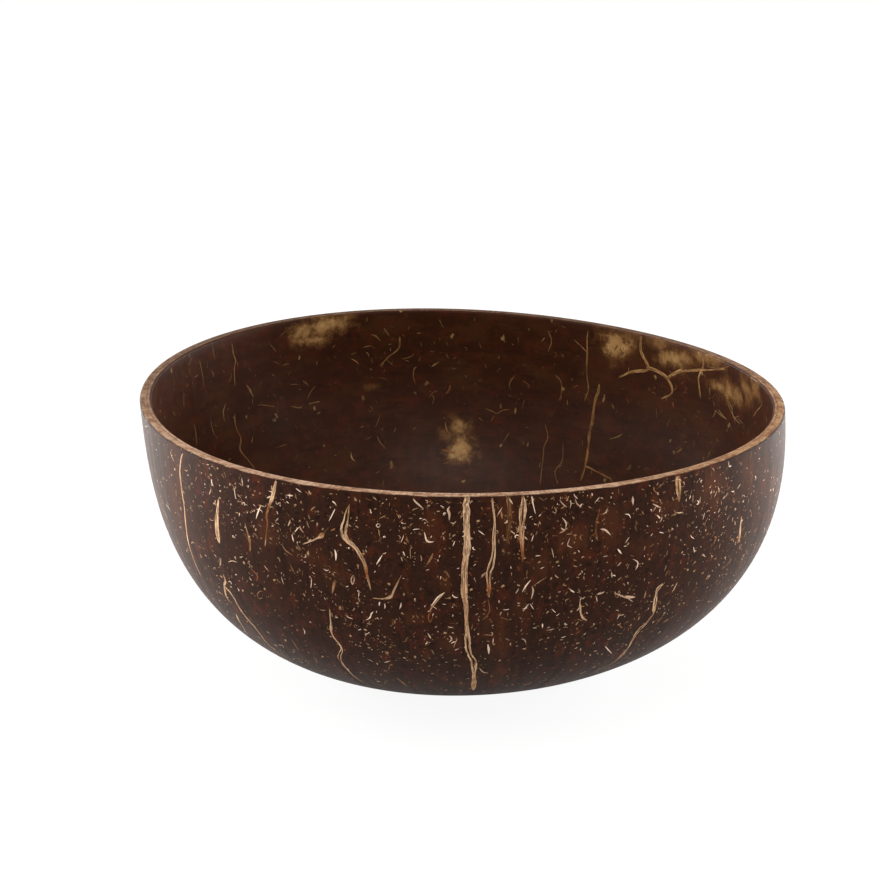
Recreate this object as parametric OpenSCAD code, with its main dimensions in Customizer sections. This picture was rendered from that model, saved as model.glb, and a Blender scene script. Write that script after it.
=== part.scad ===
// Bowl made from half a coconut shell, sanded smooth, with the nut's pale fibre strands set in its wall

/* [Bowl] */
// Mean width of the rim
rim_w = 110; // [90:1:150]
// Height of the rim above the table
rim_h = 47; // [38:1:60]
// Width of the flat that is sanded on the foot
base_w = 35; // [24:1:55]
// Thickness of the wall at the rim
wall = 2.1; // [1.8:0.1:4]
// Thickness of the floor over the foot
floor_t = 3; // [2:0.1:5]
// Rounding of both edges of the rim
edge_r = 0.4; // [0.2:0.05:0.8]
// Fullness of the belly, where 2 makes an ellipse
fullness = 2.54; // [2.2:0.02:3]

/* [Shape of the nut] */
// How far the oval stands out of round
oval_out = 1.9; // [0:0.1:4]
// Direction of the oval's long side, in degrees from the right
oval_turn = -45; // [-90:5:90]
// How far the nut's three ridges stand out of round
ridge_out = 0.9; // [0:0.1:2]
// Direction of the first ridge, in degrees from the right
ridge_turn = -6; // [-60:2:60]
// How far the belly leans to the right at half height
belly_shift = 1.2; // [0:0.1:3]
// How far the foot's middle lies to the left of the rim's middle
foot_shift = 1.2; // [0:0.1:3]

/* [Strands] */
// Width of the widest strand in the outer face
strand_w = 1.15; // [0.8:0.05:1.6]
// Depth of the strands in the outer face
strand_depth = 0.8; // [0.5:0.05:1]
// Width of the widest vein in the inner face
vein_w = 0.9; // [0.6:0.05:1.2]
// Depth of the veins in the inner face
vein_depth = 0.6; // [0.4:0.05:0.8]
// Gap between a strand and its channel
seat_gap = 0.05; // [0.02:0.01:0.1]

/* [Hidden] */
mean_r = rim_w / 2;
// Depth of the whole half nut, before its tip is sanded flat
nut_depth = rim_h / pow(1 - pow(base_w / rim_w, fullness), 1 / fullness);
hollow_depth = rim_h - floor_t;
// How far a channel's cutter stands over the face that it cuts
overrun = 0.3;
// Facets round the bowl, rings up each face and rings on each rim edge
around = 64;
outer_rings = 13;
inner_rings = 11;
edge_rings = 2;
// Fewest straight pieces in a strand
least_steps = 8;
// Turn in degrees, rise and stretch of a strand over which a slope is measured
probe_turn = 0.5;
probe_rise = rim_h / 200;
probe_stretch = 0.05;
shell_colour = [0.24, 0.13, 0.08];
strand_colour = [0.78, 0.60, 0.40];
vein_colour = [0.60, 0.42, 0.25];

// Each strand is a list of branches. A branch's points are [degrees from the right, share of the
// height up to the rim's rounded edge, share of the widest strand].
front_long_shares = [[
    [-88, 1, 0.95], [-88.5, 0.95, 1], [-88.5, 0.84, 1], [-89, 0.74, 0.9], [-89, 0.6, 0.85],
    [-88.5, 0.5, 0.8], [-88, 0.42, 0.65], [-87, 0.36, 0.7], [-86, 0.26, 0.65], [-85, 0.17, 0.4]]];
front_split_shares = [[
    [-84, 1, 0.3], [-84, 0.9, 0.35], [-84.5, 0.79, 0.6], [-85, 0.73, 1], [-85, 0.68, 0.8],
    [-85, 0.64, 0.3]]];
front_faint_shares = [[[-81.5, 1, 0.3], [-81.5, 0.93, 0.35], [-82, 0.84, 0.25]]];
front_broad_shares = [[
    [-79, 1, 0.9], [-78.5, 0.95, 1], [-79.5, 0.89, 0.8], [-79.5, 0.83, 0.6], [-79.5, 0.77, 0.3]]];
left_long_shares = [[
    [-145, 0.99, 0.3], [-147, 0.92, 0.4], [-147.5, 0.76, 0.45], [-149.5, 0.6, 0.4], [-149, 0.49, 0.3]]];
left_spindle_shares = [
    [[-135, 0.88, 0.4], [-136, 0.82, 0.85], [-137, 0.74, 0.9], [-137, 0.7, 0.4]],
    [[-137.5, 0.64, 0.35], [-138.5, 0.6, 0.3]]];
left_forked_shares = [
    [[-138.5, 0.57, 0.3], [-138.5, 0.54, 0.4], [-139.5, 0.515, 0.45], [-138, 0.49, 0.45],
        [-137, 0.42, 0.45], [-135.5, 0.35, 0.4], [-135.5, 0.26, 0.4], [-132, 0.21, 0.3]],
    [[-139.3, 0.525, 0.35], [-140.5, 0.46, 0.35], [-139.5, 0.44, 0.25]],
    [[-140.5, 0.39, 0.3], [-142, 0.32, 0.3], [-144, 0.26, 0.25]]];
left_amber_shares = [[
    [-120.5, 1, 0.4], [-122, 0.93, 0.6], [-123.5, 0.88, 0.5], [-124, 0.83, 0.3], [-125, 0.75, 0.25]]];
left_short_shares = [[[-129, 0.82, 0.25], [-128.5, 0.76, 0.35], [-129, 0.71, 0.25]]];
bent_shares = [[
    [-107.5, 0.96, 0.4], [-108.5, 0.9, 0.9], [-109, 0.86, 1], [-108.5, 0.83, 0.6], [-107, 0.8, 0.55],
    [-106, 0.75, 0.6], [-105.5, 0.7, 0.5], [-105, 0.65, 0.25]]];
hooked_shares = [[
    [-99.5, 0.72, 0.3], [-101, 0.66, 0.4], [-102, 0.63, 0.5], [-103.5, 0.62, 0.4], [-105, 0.62, 0.3]]];
small_forked_shares = [[[-117, 0.79, 0.3], [-113.5, 0.83, 0.5], [-111.5, 0.87, 0.3]]];
low_looped_shares = [[
    [-113.5, 0.55, 0.3], [-114, 0.48, 0.45], [-114, 0.43, 0.45], [-113, 0.38, 0.45],
    [-114.5, 0.31, 0.5], [-114, 0.24, 0.45], [-112.5, 0.17, 0.3]]];
low_curved_shares = [[[-92.5, 0.66, 0.25], [-94.5, 0.61, 0.4], [-95, 0.58, 0.25]]];
right_hook_shares = [[[-69, 0.6, 0.3], [-68.5, 0.55, 0.35], [-67, 0.51, 0.25]]];
right_long_shares = [[
    [-53, 0.61, 0.3], [-54, 0.58, 0.4], [-53.5, 0.52, 0.4], [-53, 0.48, 0.5], [-53.5, 0.45, 0.55],
    [-54.5, 0.4, 0.5], [-54, 0.32, 0.45], [-54, 0.25, 0.35], [-57, 0.19, 0.25]]];
right_short_shares = [[[-35.5, 0.8, 0.4], [-35.5, 0.75, 0.5], [-35, 0.7, 0.5], [-35, 0.66, 0.35]]];
right_rim_shares = [[[-51.5, 1, 0.4], [-51.5, 0.95, 0.5], [-51.5, 0.91, 0.25]]];
side_shares = [[[4, 1, 0.5], [3, 0.86, 0.7], [6, 0.7, 0.5], [4, 0.55, 0.3]]];
rear_right_shares = [[[25, 0.92, 0.3], [23, 0.78, 0.6], [25, 0.62, 0.5], [22, 0.48, 0.3]]];
rear_short_shares = [[[50, 0.7, 0.25], [52, 0.6, 0.5], [51, 0.48, 0.25]]];
rear_long_shares = [[
    [72, 1, 0.6], [74, 0.85, 0.9], [73, 0.66, 0.8], [76, 0.48, 0.6], [75, 0.3, 0.45],
    [77, 0.18, 0.3]]];
rear_rim_shares = [[[95, 1, 0.5], [94, 0.93, 0.7], [95, 0.83, 0.3]]];
rear_low_shares = [[[98, 0.5, 0.3], [96, 0.36, 0.5], [99, 0.24, 0.4], [97, 0.16, 0.25]]];
rear_bent_shares = [[[110, 0.95, 0.3], [112, 0.84, 0.7], [109, 0.72, 0.6], [106, 0.6, 0.3]]];
rear_forked_shares = [
    [[135, 0.8, 0.3], [134, 0.66, 0.6], [131, 0.5, 0.6], [133, 0.35, 0.4], [130, 0.22, 0.3]],
    [[131.3, 0.52, 0.45], [127, 0.4, 0.4], [127, 0.32, 0.25]]];
rear_left_shares = [[[160, 0.85, 0.3], [163, 0.7, 0.5], [160, 0.55, 0.5], [163, 0.42, 0.3]]];
outer_shares = [
    front_long_shares, front_split_shares, front_faint_shares, front_broad_shares, left_long_shares,
    left_spindle_shares, left_forked_shares, left_amber_shares, left_short_shares, bent_shares,
    hooked_shares, small_forked_shares, low_looped_shares, low_curved_shares, right_hook_shares,
    right_long_shares, right_short_shares, right_rim_shares, side_shares, rear_right_shares,
    rear_short_shares, rear_long_shares, rear_rim_shares, rear_low_shares, rear_bent_shares,
    rear_forked_shares, rear_left_shares];

// The veins of the inner face, in the same form
inner_tube_shares = [
    [[58, 0.77, 0.6], [58, 0.74, 0.9], [58.5, 0.69, 1], [58.5, 0.62, 1], [58.5, 0.55, 0.9],
        [58, 0.48, 0.8], [57.5, 0.4, 0.5]],
    [[57.5, 0.455, 0.5], [53, 0.44, 0.45], [49, 0.43, 0.35]]];
inner_branching_shares = [
    [[47, 1, 0.45], [47, 0.94, 0.5], [45.5, 0.9, 0.6], [45.5, 0.87, 0.6], [50, 0.845, 0.5],
        [53, 0.81, 0.35]],
    [[45.7, 0.88, 0.5], [42.5, 0.875, 0.6], [40, 0.86, 0.6], [38.5, 0.83, 0.5], [38.5, 0.8, 0.45],
        [41, 0.77, 0.35]],
    [[40.2, 0.855, 0.5], [36.5, 0.9, 0.5], [32.5, 0.92, 0.5], [27, 0.95, 0.4], [21.5, 0.98, 0.35]],
    [[30.5, 1, 0.35], [29, 0.965, 0.4], [30.5, 0.9, 0.4], [29.5, 0.82, 0.35]]];
inner_back_shares = [
    [[60.5, 0.98, 0.4], [61, 0.92, 0.5], [61, 0.8, 0.5], [60.5, 0.74, 0.4], [61, 0.69, 0.35]],
    [[61, 0.89, 0.4], [64, 0.935, 0.35]]];
inner_left_shares = [[
    [138.5, 0.98, 0.4], [138.5, 0.93, 0.4], [138, 0.9, 0.45], [138.5, 0.87, 0.4], [139, 0.8, 0.35]]];
inner_left_short_shares = [[[149, 0.955, 0.35], [148.5, 0.89, 0.4], [148.5, 0.845, 0.35]]];
inner_left_low_shares = [[
    [140.5, 0.7, 0.35], [141, 0.65, 0.4], [140.5, 0.6, 0.45], [141.5, 0.565, 0.45],
    [140.5, 0.52, 0.4], [139.5, 0.48, 0.35]]];
inner_middle_shares = [[[101.5, 0.9, 0.35], [102, 0.85, 0.4], [104.5, 0.81, 0.4], [105.5, 0.775, 0.35]]];
inner_low_shares = [[[70, 0.58, 0.35], [69, 0.53, 0.4], [69.5, 0.475, 0.4], [68, 0.36, 0.35]]];
inner_low_side_shares = [[[65, 0.52, 0.35], [64, 0.455, 0.4], [65, 0.415, 0.4], [63.5, 0.375, 0.35]]];
inner_upper_shares = [[[68.5, 0.78, 0.35], [67, 0.745, 0.4], [67, 0.675, 0.35]]];
inner_star_shares = [
    [[21, 0.85, 0.35], [18, 0.81, 0.45], [15, 0.795, 0.35]],
    [[24.5, 0.8, 0.35], [21.5, 0.785, 0.35]]];
inner_side_shares = [[[-5, 0.7, 0.35], [-8, 0.6, 0.5], [-5, 0.48, 0.35]]];
inner_front_right_shares = [[[-40, 0.98, 0.35], [-43, 0.86, 0.5], [-40, 0.7, 0.5], [-44, 0.56, 0.35]]];
inner_front_shares = [[[-95, 0.95, 0.4], [-93, 0.8, 0.6], [-96, 0.64, 0.6], [-94, 0.5, 0.4]]];
inner_front_left_shares = [
    [[-130, 0.9, 0.35], [-127, 0.76, 0.5], [-130, 0.62, 0.45], [-128, 0.5, 0.35]],
    [[-127.3, 0.78, 0.4], [-123, 0.66, 0.35]]];
vein_shares = [
    inner_tube_shares, inner_branching_shares, inner_back_shares, inner_left_shares,
    inner_left_short_shares, inner_left_low_shares, inner_middle_shares, inner_low_shares,
    inner_low_side_shares, inner_upper_shares, inner_star_shares, inner_side_shares,
    inner_front_right_shares, inner_front_shares, inner_front_left_shares];

// Outline of the nut seen from above, as a share of its mean radius: an oval with three ridges
function outline(turn) = 1 + (oval_out * cos(2 * (turn - oval_turn))
    + ridge_out * cos(3 * (turn - ridge_turn))) / mean_r;

// Radius at a drop below the rim as a share of the radius there: a superellipse's quarter
function swell(drop, depth) = pow(1 - pow(max(drop, 0) / depth, fullness), 1 / fullness);

// Place of the nut's own axis at a height
function axis_x(z) = let (rise = z / rim_h)
    4 * belly_shift * rise * (1 - rise) - foot_shift * (1 - rise);

// Radius of the inner or the outer face
function face_r(inside, turn, z) = inside
    ? (mean_r * outline(turn) - wall) * swell(rim_h - z, hollow_depth)
    : mean_r * outline(turn) * swell(rim_h - z, nut_depth);

// A point at a radius, a turn and a height
function place(r, turn, z) = [r * cos(turn) + axis_x(z), r * sin(turn), z];

function face_point(inside, turn, z) = place(face_r(inside, turn, z), turn, z);

function unit(v) = v / norm(v);

// Direction out of the wall at a point of a face
function face_normal(inside, turn, z) = (inside ? -1 : 1) * unit(cross(
    face_point(inside, turn + probe_turn, z) - face_point(inside, turn - probe_turn, z),
    face_point(inside, turn, z + probe_rise) - face_point(inside, turn, z - probe_rise)));

// Heights up a face in even steps of the superellipse's own angle, from its lowest ring to the rim's edge
function face_heights(depth, lowest, count) = let (
    first = asin(pow((rim_h - lowest) / depth, fullness / 2)),
    last = asin(pow(edge_r / depth, fullness / 2)))
    [for (i = [0 : count]) rim_h - depth * pow(sin(first + (last - first) * i / count), 2 / fullness)];

// The bowl's profile as rings of [is inside, height, inset from the face], from the foot over the rim
// and down to the ring round the hollow's lowest point
first_inner_height = floor_t + hollow_depth / 400;
edge_turns = [for (i = [1 : edge_rings]) 90 * i / edge_rings];
rings = concat(
    [for (z = face_heights(nut_depth, 0, outer_rings)) [false, z, 0]],
    [for (t = edge_turns) [false, rim_h - edge_r * (1 - sin(t)), edge_r * (1 - cos(t))]],
    [for (i = [edge_rings - 1 : -1 : 0]) let (t = edge_turns[i])
        [true, rim_h - edge_r * (1 - sin(t)), edge_r * (1 - cos(t))]],
    [for (i = [inner_rings : -1 : 0])
        [true, face_heights(hollow_depth, first_inner_height, inner_rings)[i], 0]]);

function ring_point(ring, turn) = place(
    face_r(ring[0], turn, ring[1]) + (ring[0] ? ring[2] : -ring[2]), turn, ring[1]);

// The wall of the bowl before the strands' channels are cut, with every second ring turned half a facet
module shell_wall() {
    last = len(rings) - 1;
    corners = [for (k = [0 : last]) for (i = [0 : around - 1])
        ring_point(rings[k], 360 * (i + (k % 2) / 2) / around)];
    foot = [for (i = [0 : around - 1]) i];
    hollow = [for (i = [0 : around - 1]) last * around + (around - 1 - i)];
    sides = [for (k = [0 : last - 1]) for (i = [0 : around - 1]) let (
        j = (i + 1) % around,
        low = k * around,
        high = low + around)
        each k % 2 == 0
            ? [[low + i, high + i, low + j], [low + j, high + i, high + j]]
            : [[low + i, high + i, high + j], [low + i, high + j, low + j]]];
    polyhedron(points = corners, faces = concat([foot, hollow], sides));
}

// A point at a stretch along a branch, on a smooth curve through the branch's points
function along(branch, stretch) = let (
    last = len(branch) - 1,
    i = min(floor(stretch), last - 1),
    f = stretch - i,
    a = branch[max(i - 1, 0)],
    b = branch[i],
    c = branch[i + 1],
    d = branch[min(i + 2, last)])
    b + (c - a) * f / 2 + (2 * a - 5 * b + 4 * c - d) * f * f / 2 + (3 * b - a - 3 * c + d) * f * f * f / 2;

// Height of a branch's point
function height(p) = p[1] * (rim_h - edge_r);

function spot(inside, branch, stretch) = let (p = along(branch, stretch))
    face_point(inside, p[0], height(p));

// Three corners of a strand's wedge, square to its run: two at the face and one at its bottom. The gap
// widens and deepens the wedge and carries its two ends on, and top is how far it stands over the face.
function section(inside, branch, step, steps, gap, top) = let (
    last = len(branch) - 1,
    stretch = last * step / steps,
    p = along(branch, stretch),
    run = unit(spot(inside, branch, min(stretch + probe_stretch, last))
        - spot(inside, branch, max(stretch - probe_stretch, 0))),
    side = unit(cross(face_normal(inside, p[0], height(p)), run)),
    up = cross(run, side),
    end = step == 0 ? -gap : step == steps ? gap : 0,
    middle = spot(inside, branch, stretch) + run * end,
    low = (inside ? vein_depth : strand_depth) + gap,
    half = (p[2] * (inside ? vein_w : strand_w) / 2 + gap) * (low + top) / low)
    [middle + side * half + up * top, middle - side * half + up * top, middle - up * low];

// A strand's branches, each a chain of short straight pieces
module chain(inside, branches, gap, top) {
    for (branch = branches) {
        spans = len(branch) - 1;
        steps = spans * ceil(least_steps / len(branches) / spans);
        for (step = [0 : steps - 1])
            hull() polyhedron(
                points = concat(
                    section(inside, branch, step, steps, gap, top),
                    section(inside, branch, step + 1, steps, gap, top)),
                faces = [[0, 1, 2], [5, 4, 3], [0, 3, 4, 1], [1, 4, 5, 2], [2, 5, 3, 0]]);
    }
}

// A strand fills its channel up to the wall's face
module strand(inside, branches) {
    color(inside ? vein_colour : strand_colour) chain(inside, branches, 0, 0);
}

// The stony shell, with a channel for every strand
module shell() {
    color(shell_colour) difference() {
        shell_wall();
        for (branches = outer_shares) chain(false, branches, seat_gap, overrun);
        for (branches = vein_shares) chain(true, branches, seat_gap, overrun);
    }
}

module front_long_strand() { strand(false, front_long_shares); }
module front_split_strand() { strand(false, front_split_shares); }
module front_faint_strand() { strand(false, front_faint_shares); }
module front_broad_strand() { strand(false, front_broad_shares); }
module left_long_strand() { strand(false, left_long_shares); }
module left_spindle_strand() { strand(false, left_spindle_shares); }
module left_forked_strand() { strand(false, left_forked_shares); }
module left_amber_strand() { strand(false, left_amber_shares); }
module left_short_strand() { strand(false, left_short_shares); }
module bent_strand() { strand(false, bent_shares); }
module hooked_strand() { strand(false, hooked_shares); }
module small_forked_strand() { strand(false, small_forked_shares); }
module low_looped_strand() { strand(false, low_looped_shares); }
module low_curved_strand() { strand(false, low_curved_shares); }
module right_hook_strand() { strand(false, right_hook_shares); }
module right_long_strand() { strand(false, right_long_shares); }
module right_short_strand() { strand(false, right_short_shares); }
module right_rim_strand() { strand(false, right_rim_shares); }
module side_strand() { strand(false, side_shares); }
module rear_right_strand() { strand(false, rear_right_shares); }
module rear_short_strand() { strand(false, rear_short_shares); }
module rear_long_strand() { strand(false, rear_long_shares); }
module rear_rim_strand() { strand(false, rear_rim_shares); }
module rear_low_strand() { strand(false, rear_low_shares); }
module rear_bent_strand() { strand(false, rear_bent_shares); }
module rear_forked_strand() { strand(false, rear_forked_shares); }
module rear_left_strand() { strand(false, rear_left_shares); }
module inner_tube_vein() { strand(true, inner_tube_shares); }
module inner_branching_vein() { strand(true, inner_branching_shares); }
module inner_back_vein() { strand(true, inner_back_shares); }
module inner_left_vein() { strand(true, inner_left_shares); }
module inner_left_short_vein() { strand(true, inner_left_short_shares); }
module inner_left_low_vein() { strand(true, inner_left_low_shares); }
module inner_middle_vein() { strand(true, inner_middle_shares); }
module inner_low_vein() { strand(true, inner_low_shares); }
module inner_low_side_vein() { strand(true, inner_low_side_shares); }
module inner_upper_vein() { strand(true, inner_upper_shares); }
module inner_star_vein() { strand(true, inner_star_shares); }
module inner_side_vein() { strand(true, inner_side_shares); }
module inner_front_right_vein() { strand(true, inner_front_right_shares); }
module inner_front_vein() { strand(true, inner_front_shares); }
module inner_front_left_vein() { strand(true, inner_front_left_shares); }

shell();
front_long_strand();
front_split_strand();
front_faint_strand();
front_broad_strand();
left_long_strand();
left_spindle_strand();
left_forked_strand();
left_amber_strand();
left_short_strand();
bent_strand();
hooked_strand();
small_forked_strand();
low_looped_strand();
low_curved_strand();
right_hook_strand();
right_long_strand();
right_short_strand();
right_rim_strand();
side_strand();
rear_right_strand();
rear_short_strand();
rear_long_strand();
rear_rim_strand();
rear_low_strand();
rear_bent_strand();
rear_forked_strand();
rear_left_strand();
inner_tube_vein();
inner_branching_vein();
inner_back_vein();
inner_left_vein();
inner_left_short_vein();
inner_left_low_vein();
inner_middle_vein();
inner_low_vein();
inner_low_side_vein();
inner_upper_vein();
inner_star_vein();
inner_side_vein();
inner_front_right_vein();
inner_front_vein();
inner_front_left_vein();
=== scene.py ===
"""Coconut shell bowl: polished wall, pale fibre strands, veins, flecks and a plain studio."""
import math

import bpy
import numpy as np
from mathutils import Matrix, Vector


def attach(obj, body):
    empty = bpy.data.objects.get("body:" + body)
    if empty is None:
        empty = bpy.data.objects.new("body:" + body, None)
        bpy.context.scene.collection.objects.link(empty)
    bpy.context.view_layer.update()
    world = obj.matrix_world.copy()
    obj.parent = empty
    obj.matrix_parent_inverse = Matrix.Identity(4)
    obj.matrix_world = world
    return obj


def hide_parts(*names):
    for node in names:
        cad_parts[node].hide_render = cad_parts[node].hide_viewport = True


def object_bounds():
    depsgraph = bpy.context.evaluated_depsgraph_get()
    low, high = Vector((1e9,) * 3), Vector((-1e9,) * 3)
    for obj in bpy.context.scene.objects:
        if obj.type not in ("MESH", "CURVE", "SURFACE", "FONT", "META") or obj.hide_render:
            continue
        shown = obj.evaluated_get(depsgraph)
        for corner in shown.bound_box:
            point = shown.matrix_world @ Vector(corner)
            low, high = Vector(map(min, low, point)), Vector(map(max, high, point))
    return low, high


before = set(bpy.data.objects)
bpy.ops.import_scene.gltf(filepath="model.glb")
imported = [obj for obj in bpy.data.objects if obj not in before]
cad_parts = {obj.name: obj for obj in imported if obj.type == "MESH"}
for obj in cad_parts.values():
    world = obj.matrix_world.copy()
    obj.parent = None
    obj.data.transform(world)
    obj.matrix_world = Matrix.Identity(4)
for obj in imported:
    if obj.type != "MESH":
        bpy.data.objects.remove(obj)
CAD_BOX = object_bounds()

bl_info = {
    "name": "Coconut Shell Bowl",
    "version": (1, 0, 0),
    "blender": (4, 5, 0),
    "location": "3D View > Sidebar > Bowl",
    "description": "Dresses a coconut shell bowl with its polished wall, fibre strands and flecks",
    "category": "Object",
}

MM = 0.001
ORIGIN = (0, 0, 0)
WHITE = (1, 1, 1, 1)
RIM_TOP = CAD_BOX[1].z

# The outer face lies this much deeper, where the middles of the CAD model's flat facets are.
FACET_DEPTH = .07 * MM

# The wall's mesh: its columns and rows, the share of the hollow's depth at which its lowest ring lies,
# how far its lowest point lies under that ring, and how strongly the foot's sanded look colours the
# foot's outer edge
AROUND, OUTER_ROWS, INNER_ROWS = 400, 92, 84
EDGE_ROWS, RIM_ROWS, FOOT_ROWS = 6, 12, 14
HOLLOW_START = 1 / 400
HOLLOW_DIMPLE = .02 * MM
FOOT_EDGE = .6

# A face's slope is measured over a small turn in degrees and a small rise. It stays this far above its
# lowest and under its highest point. Points laid on a face stay a little under the rim's top.
SLOPE_TURN, SLOPE_RISE = .3, .04 * MM
LOWEST_SLOPE, HIGHEST_SLOPE = .2 * MM, .05 * MM
UNDER_RIM = .08 * MM

# The photo's width in pixels and the size of one of them at the bowl, the camera that was fitted to the
# photo, and how far before and behind the bowl's middle a pixel's ray is searched, in how many steps
PHOTO_PIXELS = 879
PIXEL = .174 * MM
CAMERA_SENSOR = 36
CAMERA_SHIFT = (-.01749, .08416)
CLIP = (.01, 50)
RAY_SEARCH = (-70 * MM, 80 * MM)
RAY_STEPS = 1501

# A fibre bundle: the gap between its stations, the fewest and the most of them, the points across its
# top, how its course and its width wander as (wave, reach), its least width, the length of its tapered
# ends, the length over which it climbs the rim's rounded edge and how much of that edge it climbs, and
# its crown, sunk edges and keel
STATION_GAP = .2 * MM
STATIONS = (10, 260)
ACROSS_BUNDLE = 9
COURSE_WANDER = (12 * MM, .09 * MM)
WIDTH_WANDER = (5 * MM, .1)
THINNEST = .2 * MM
TAPER = .8 * MM
OVER_RIM, RIM_CLIMB = .7 * MM, .8
CROWN, SUNK, KEEL = .022 * MM, .012 * MM, .3 * MM

# How wide a mark's bundle is against the mark in the photo, because its sides fade, and how wide its ends
# are against its middle
OUTER_MARK_WIDTH, INNER_MARK_WIDTH = .85, 1.3
MARK_END = .65

# Flecks: the stations along each, their crown, sunk edges and keel, the mean and the spread of their
# size's logarithm, the least and the largest size, and how many lie outside for each one inside
FLECK_STATIONS = 5
FLECK_CROWN, FLECK_SUNK, FLECK_KEEL = .012 * MM, .008 * MM, .12 * MM
FLECK_SIZE = (-.2, .55)
FLECK_LIMITS = (.26, 2.2)
OUTER_TO_INNER = 7

# The shares of straight and of bent flecks, the rest are hooked, and how far each kind bends
STRAIGHT, BENT = .45, .45
STRAIGHT_BEND, BENT_BEND, HOOKED_BEND = .35, 1.6, 4.6

# The share of flecks that gather round middles, the number of those, and how far the flecks scatter round
# them in degrees and in shares of the height. Then the bare side: its middle and its reach in degrees,
# and the share of its flecks that are moved away
GATHERED, FLECK_MIDDLES = .6, 150
FLECK_SCATTER = (3.2, .06)
BARE_TURN, BARE_REACH, MOVED = -165, 20, .8

# Seeds of the random draws
STRAND_SEED, VEIN_SEED, MARK_SEED = 100, 200, 300
OUTER_FLECK_SEED, INNER_FLECK_SEED = 7, 8

# Looks of the surface: its gloss outside and inside, the depth of its bumps, the radius at which the
# grain's waves are counted round the nut, and how far a soft patch reaches through the wall, in
# millimetres
OUTER_GLOSS, INNER_GLOSS = .04, .075
BUMP_DEPTH = .05 * MM
GRAIN_RADIUS = 55 * MM
PATCH_DEPTH = 3

# Where the rim's colour goes over into its right, its left and its back, whose darker brown is painted
# shade, and what that colour is multiplied by in the pale band, the dark line, the fibres, the drawn
# streaks and the pores
RIM_RIGHT, RIM_LEFT, RIM_BACK_SHADE = (15 * MM, 45 * MM), (-56 * MM, -42 * MM), (-20 * MM, 45 * MM)
STREAK_RUN = 1.6 * MM
BAND_TINT = (1.3, 1.3, 1.3, 1)
LINE_TINT = (.6, .5, .45, 1)
FIBRE_TINT = (.7, .64, .58, 1)
STREAK_TINT = (.54, .43, .37, 1)
PORE_TINT = (.5, .42, .36, 1)

# The floor: half its width, its own colour, the white that it shows, and how much of that white the
# camera and the mirrored rays see
FLOOR_HALF = 6.0
FLOOR_COLOUR = (.62, .62, .6, 1)
FLOOR_WHITE, FLOOR_SEEN, FLOOR_MIRRORED = 1.05, .88, .25

# The lamps: (name, setting of the panel, share of its power, size, place, the point that it faces), in
# metres
LAMPS = [
    ("key", "key_power", 1.0, (.7, .5), (-.15, -.45, .85), (0, 0, .03)),
    ("left", "side_power", 1.3, (.7, .26), (-.62, .42, .14), (0, 0, .03)),
    ("right", "side_power", .92, (.7, .26), (.62, .42, .14), (0, 0, .03)),
    ("floor_left", "floor_power", 1.1, (.22, .4), (-.25, .14, .08), (-.25, .14, 0)),
    ("floor_right", "floor_power", 1.0, (.22, .4), (.25, .14, .08), (.25, .14, 0)),
]

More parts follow.
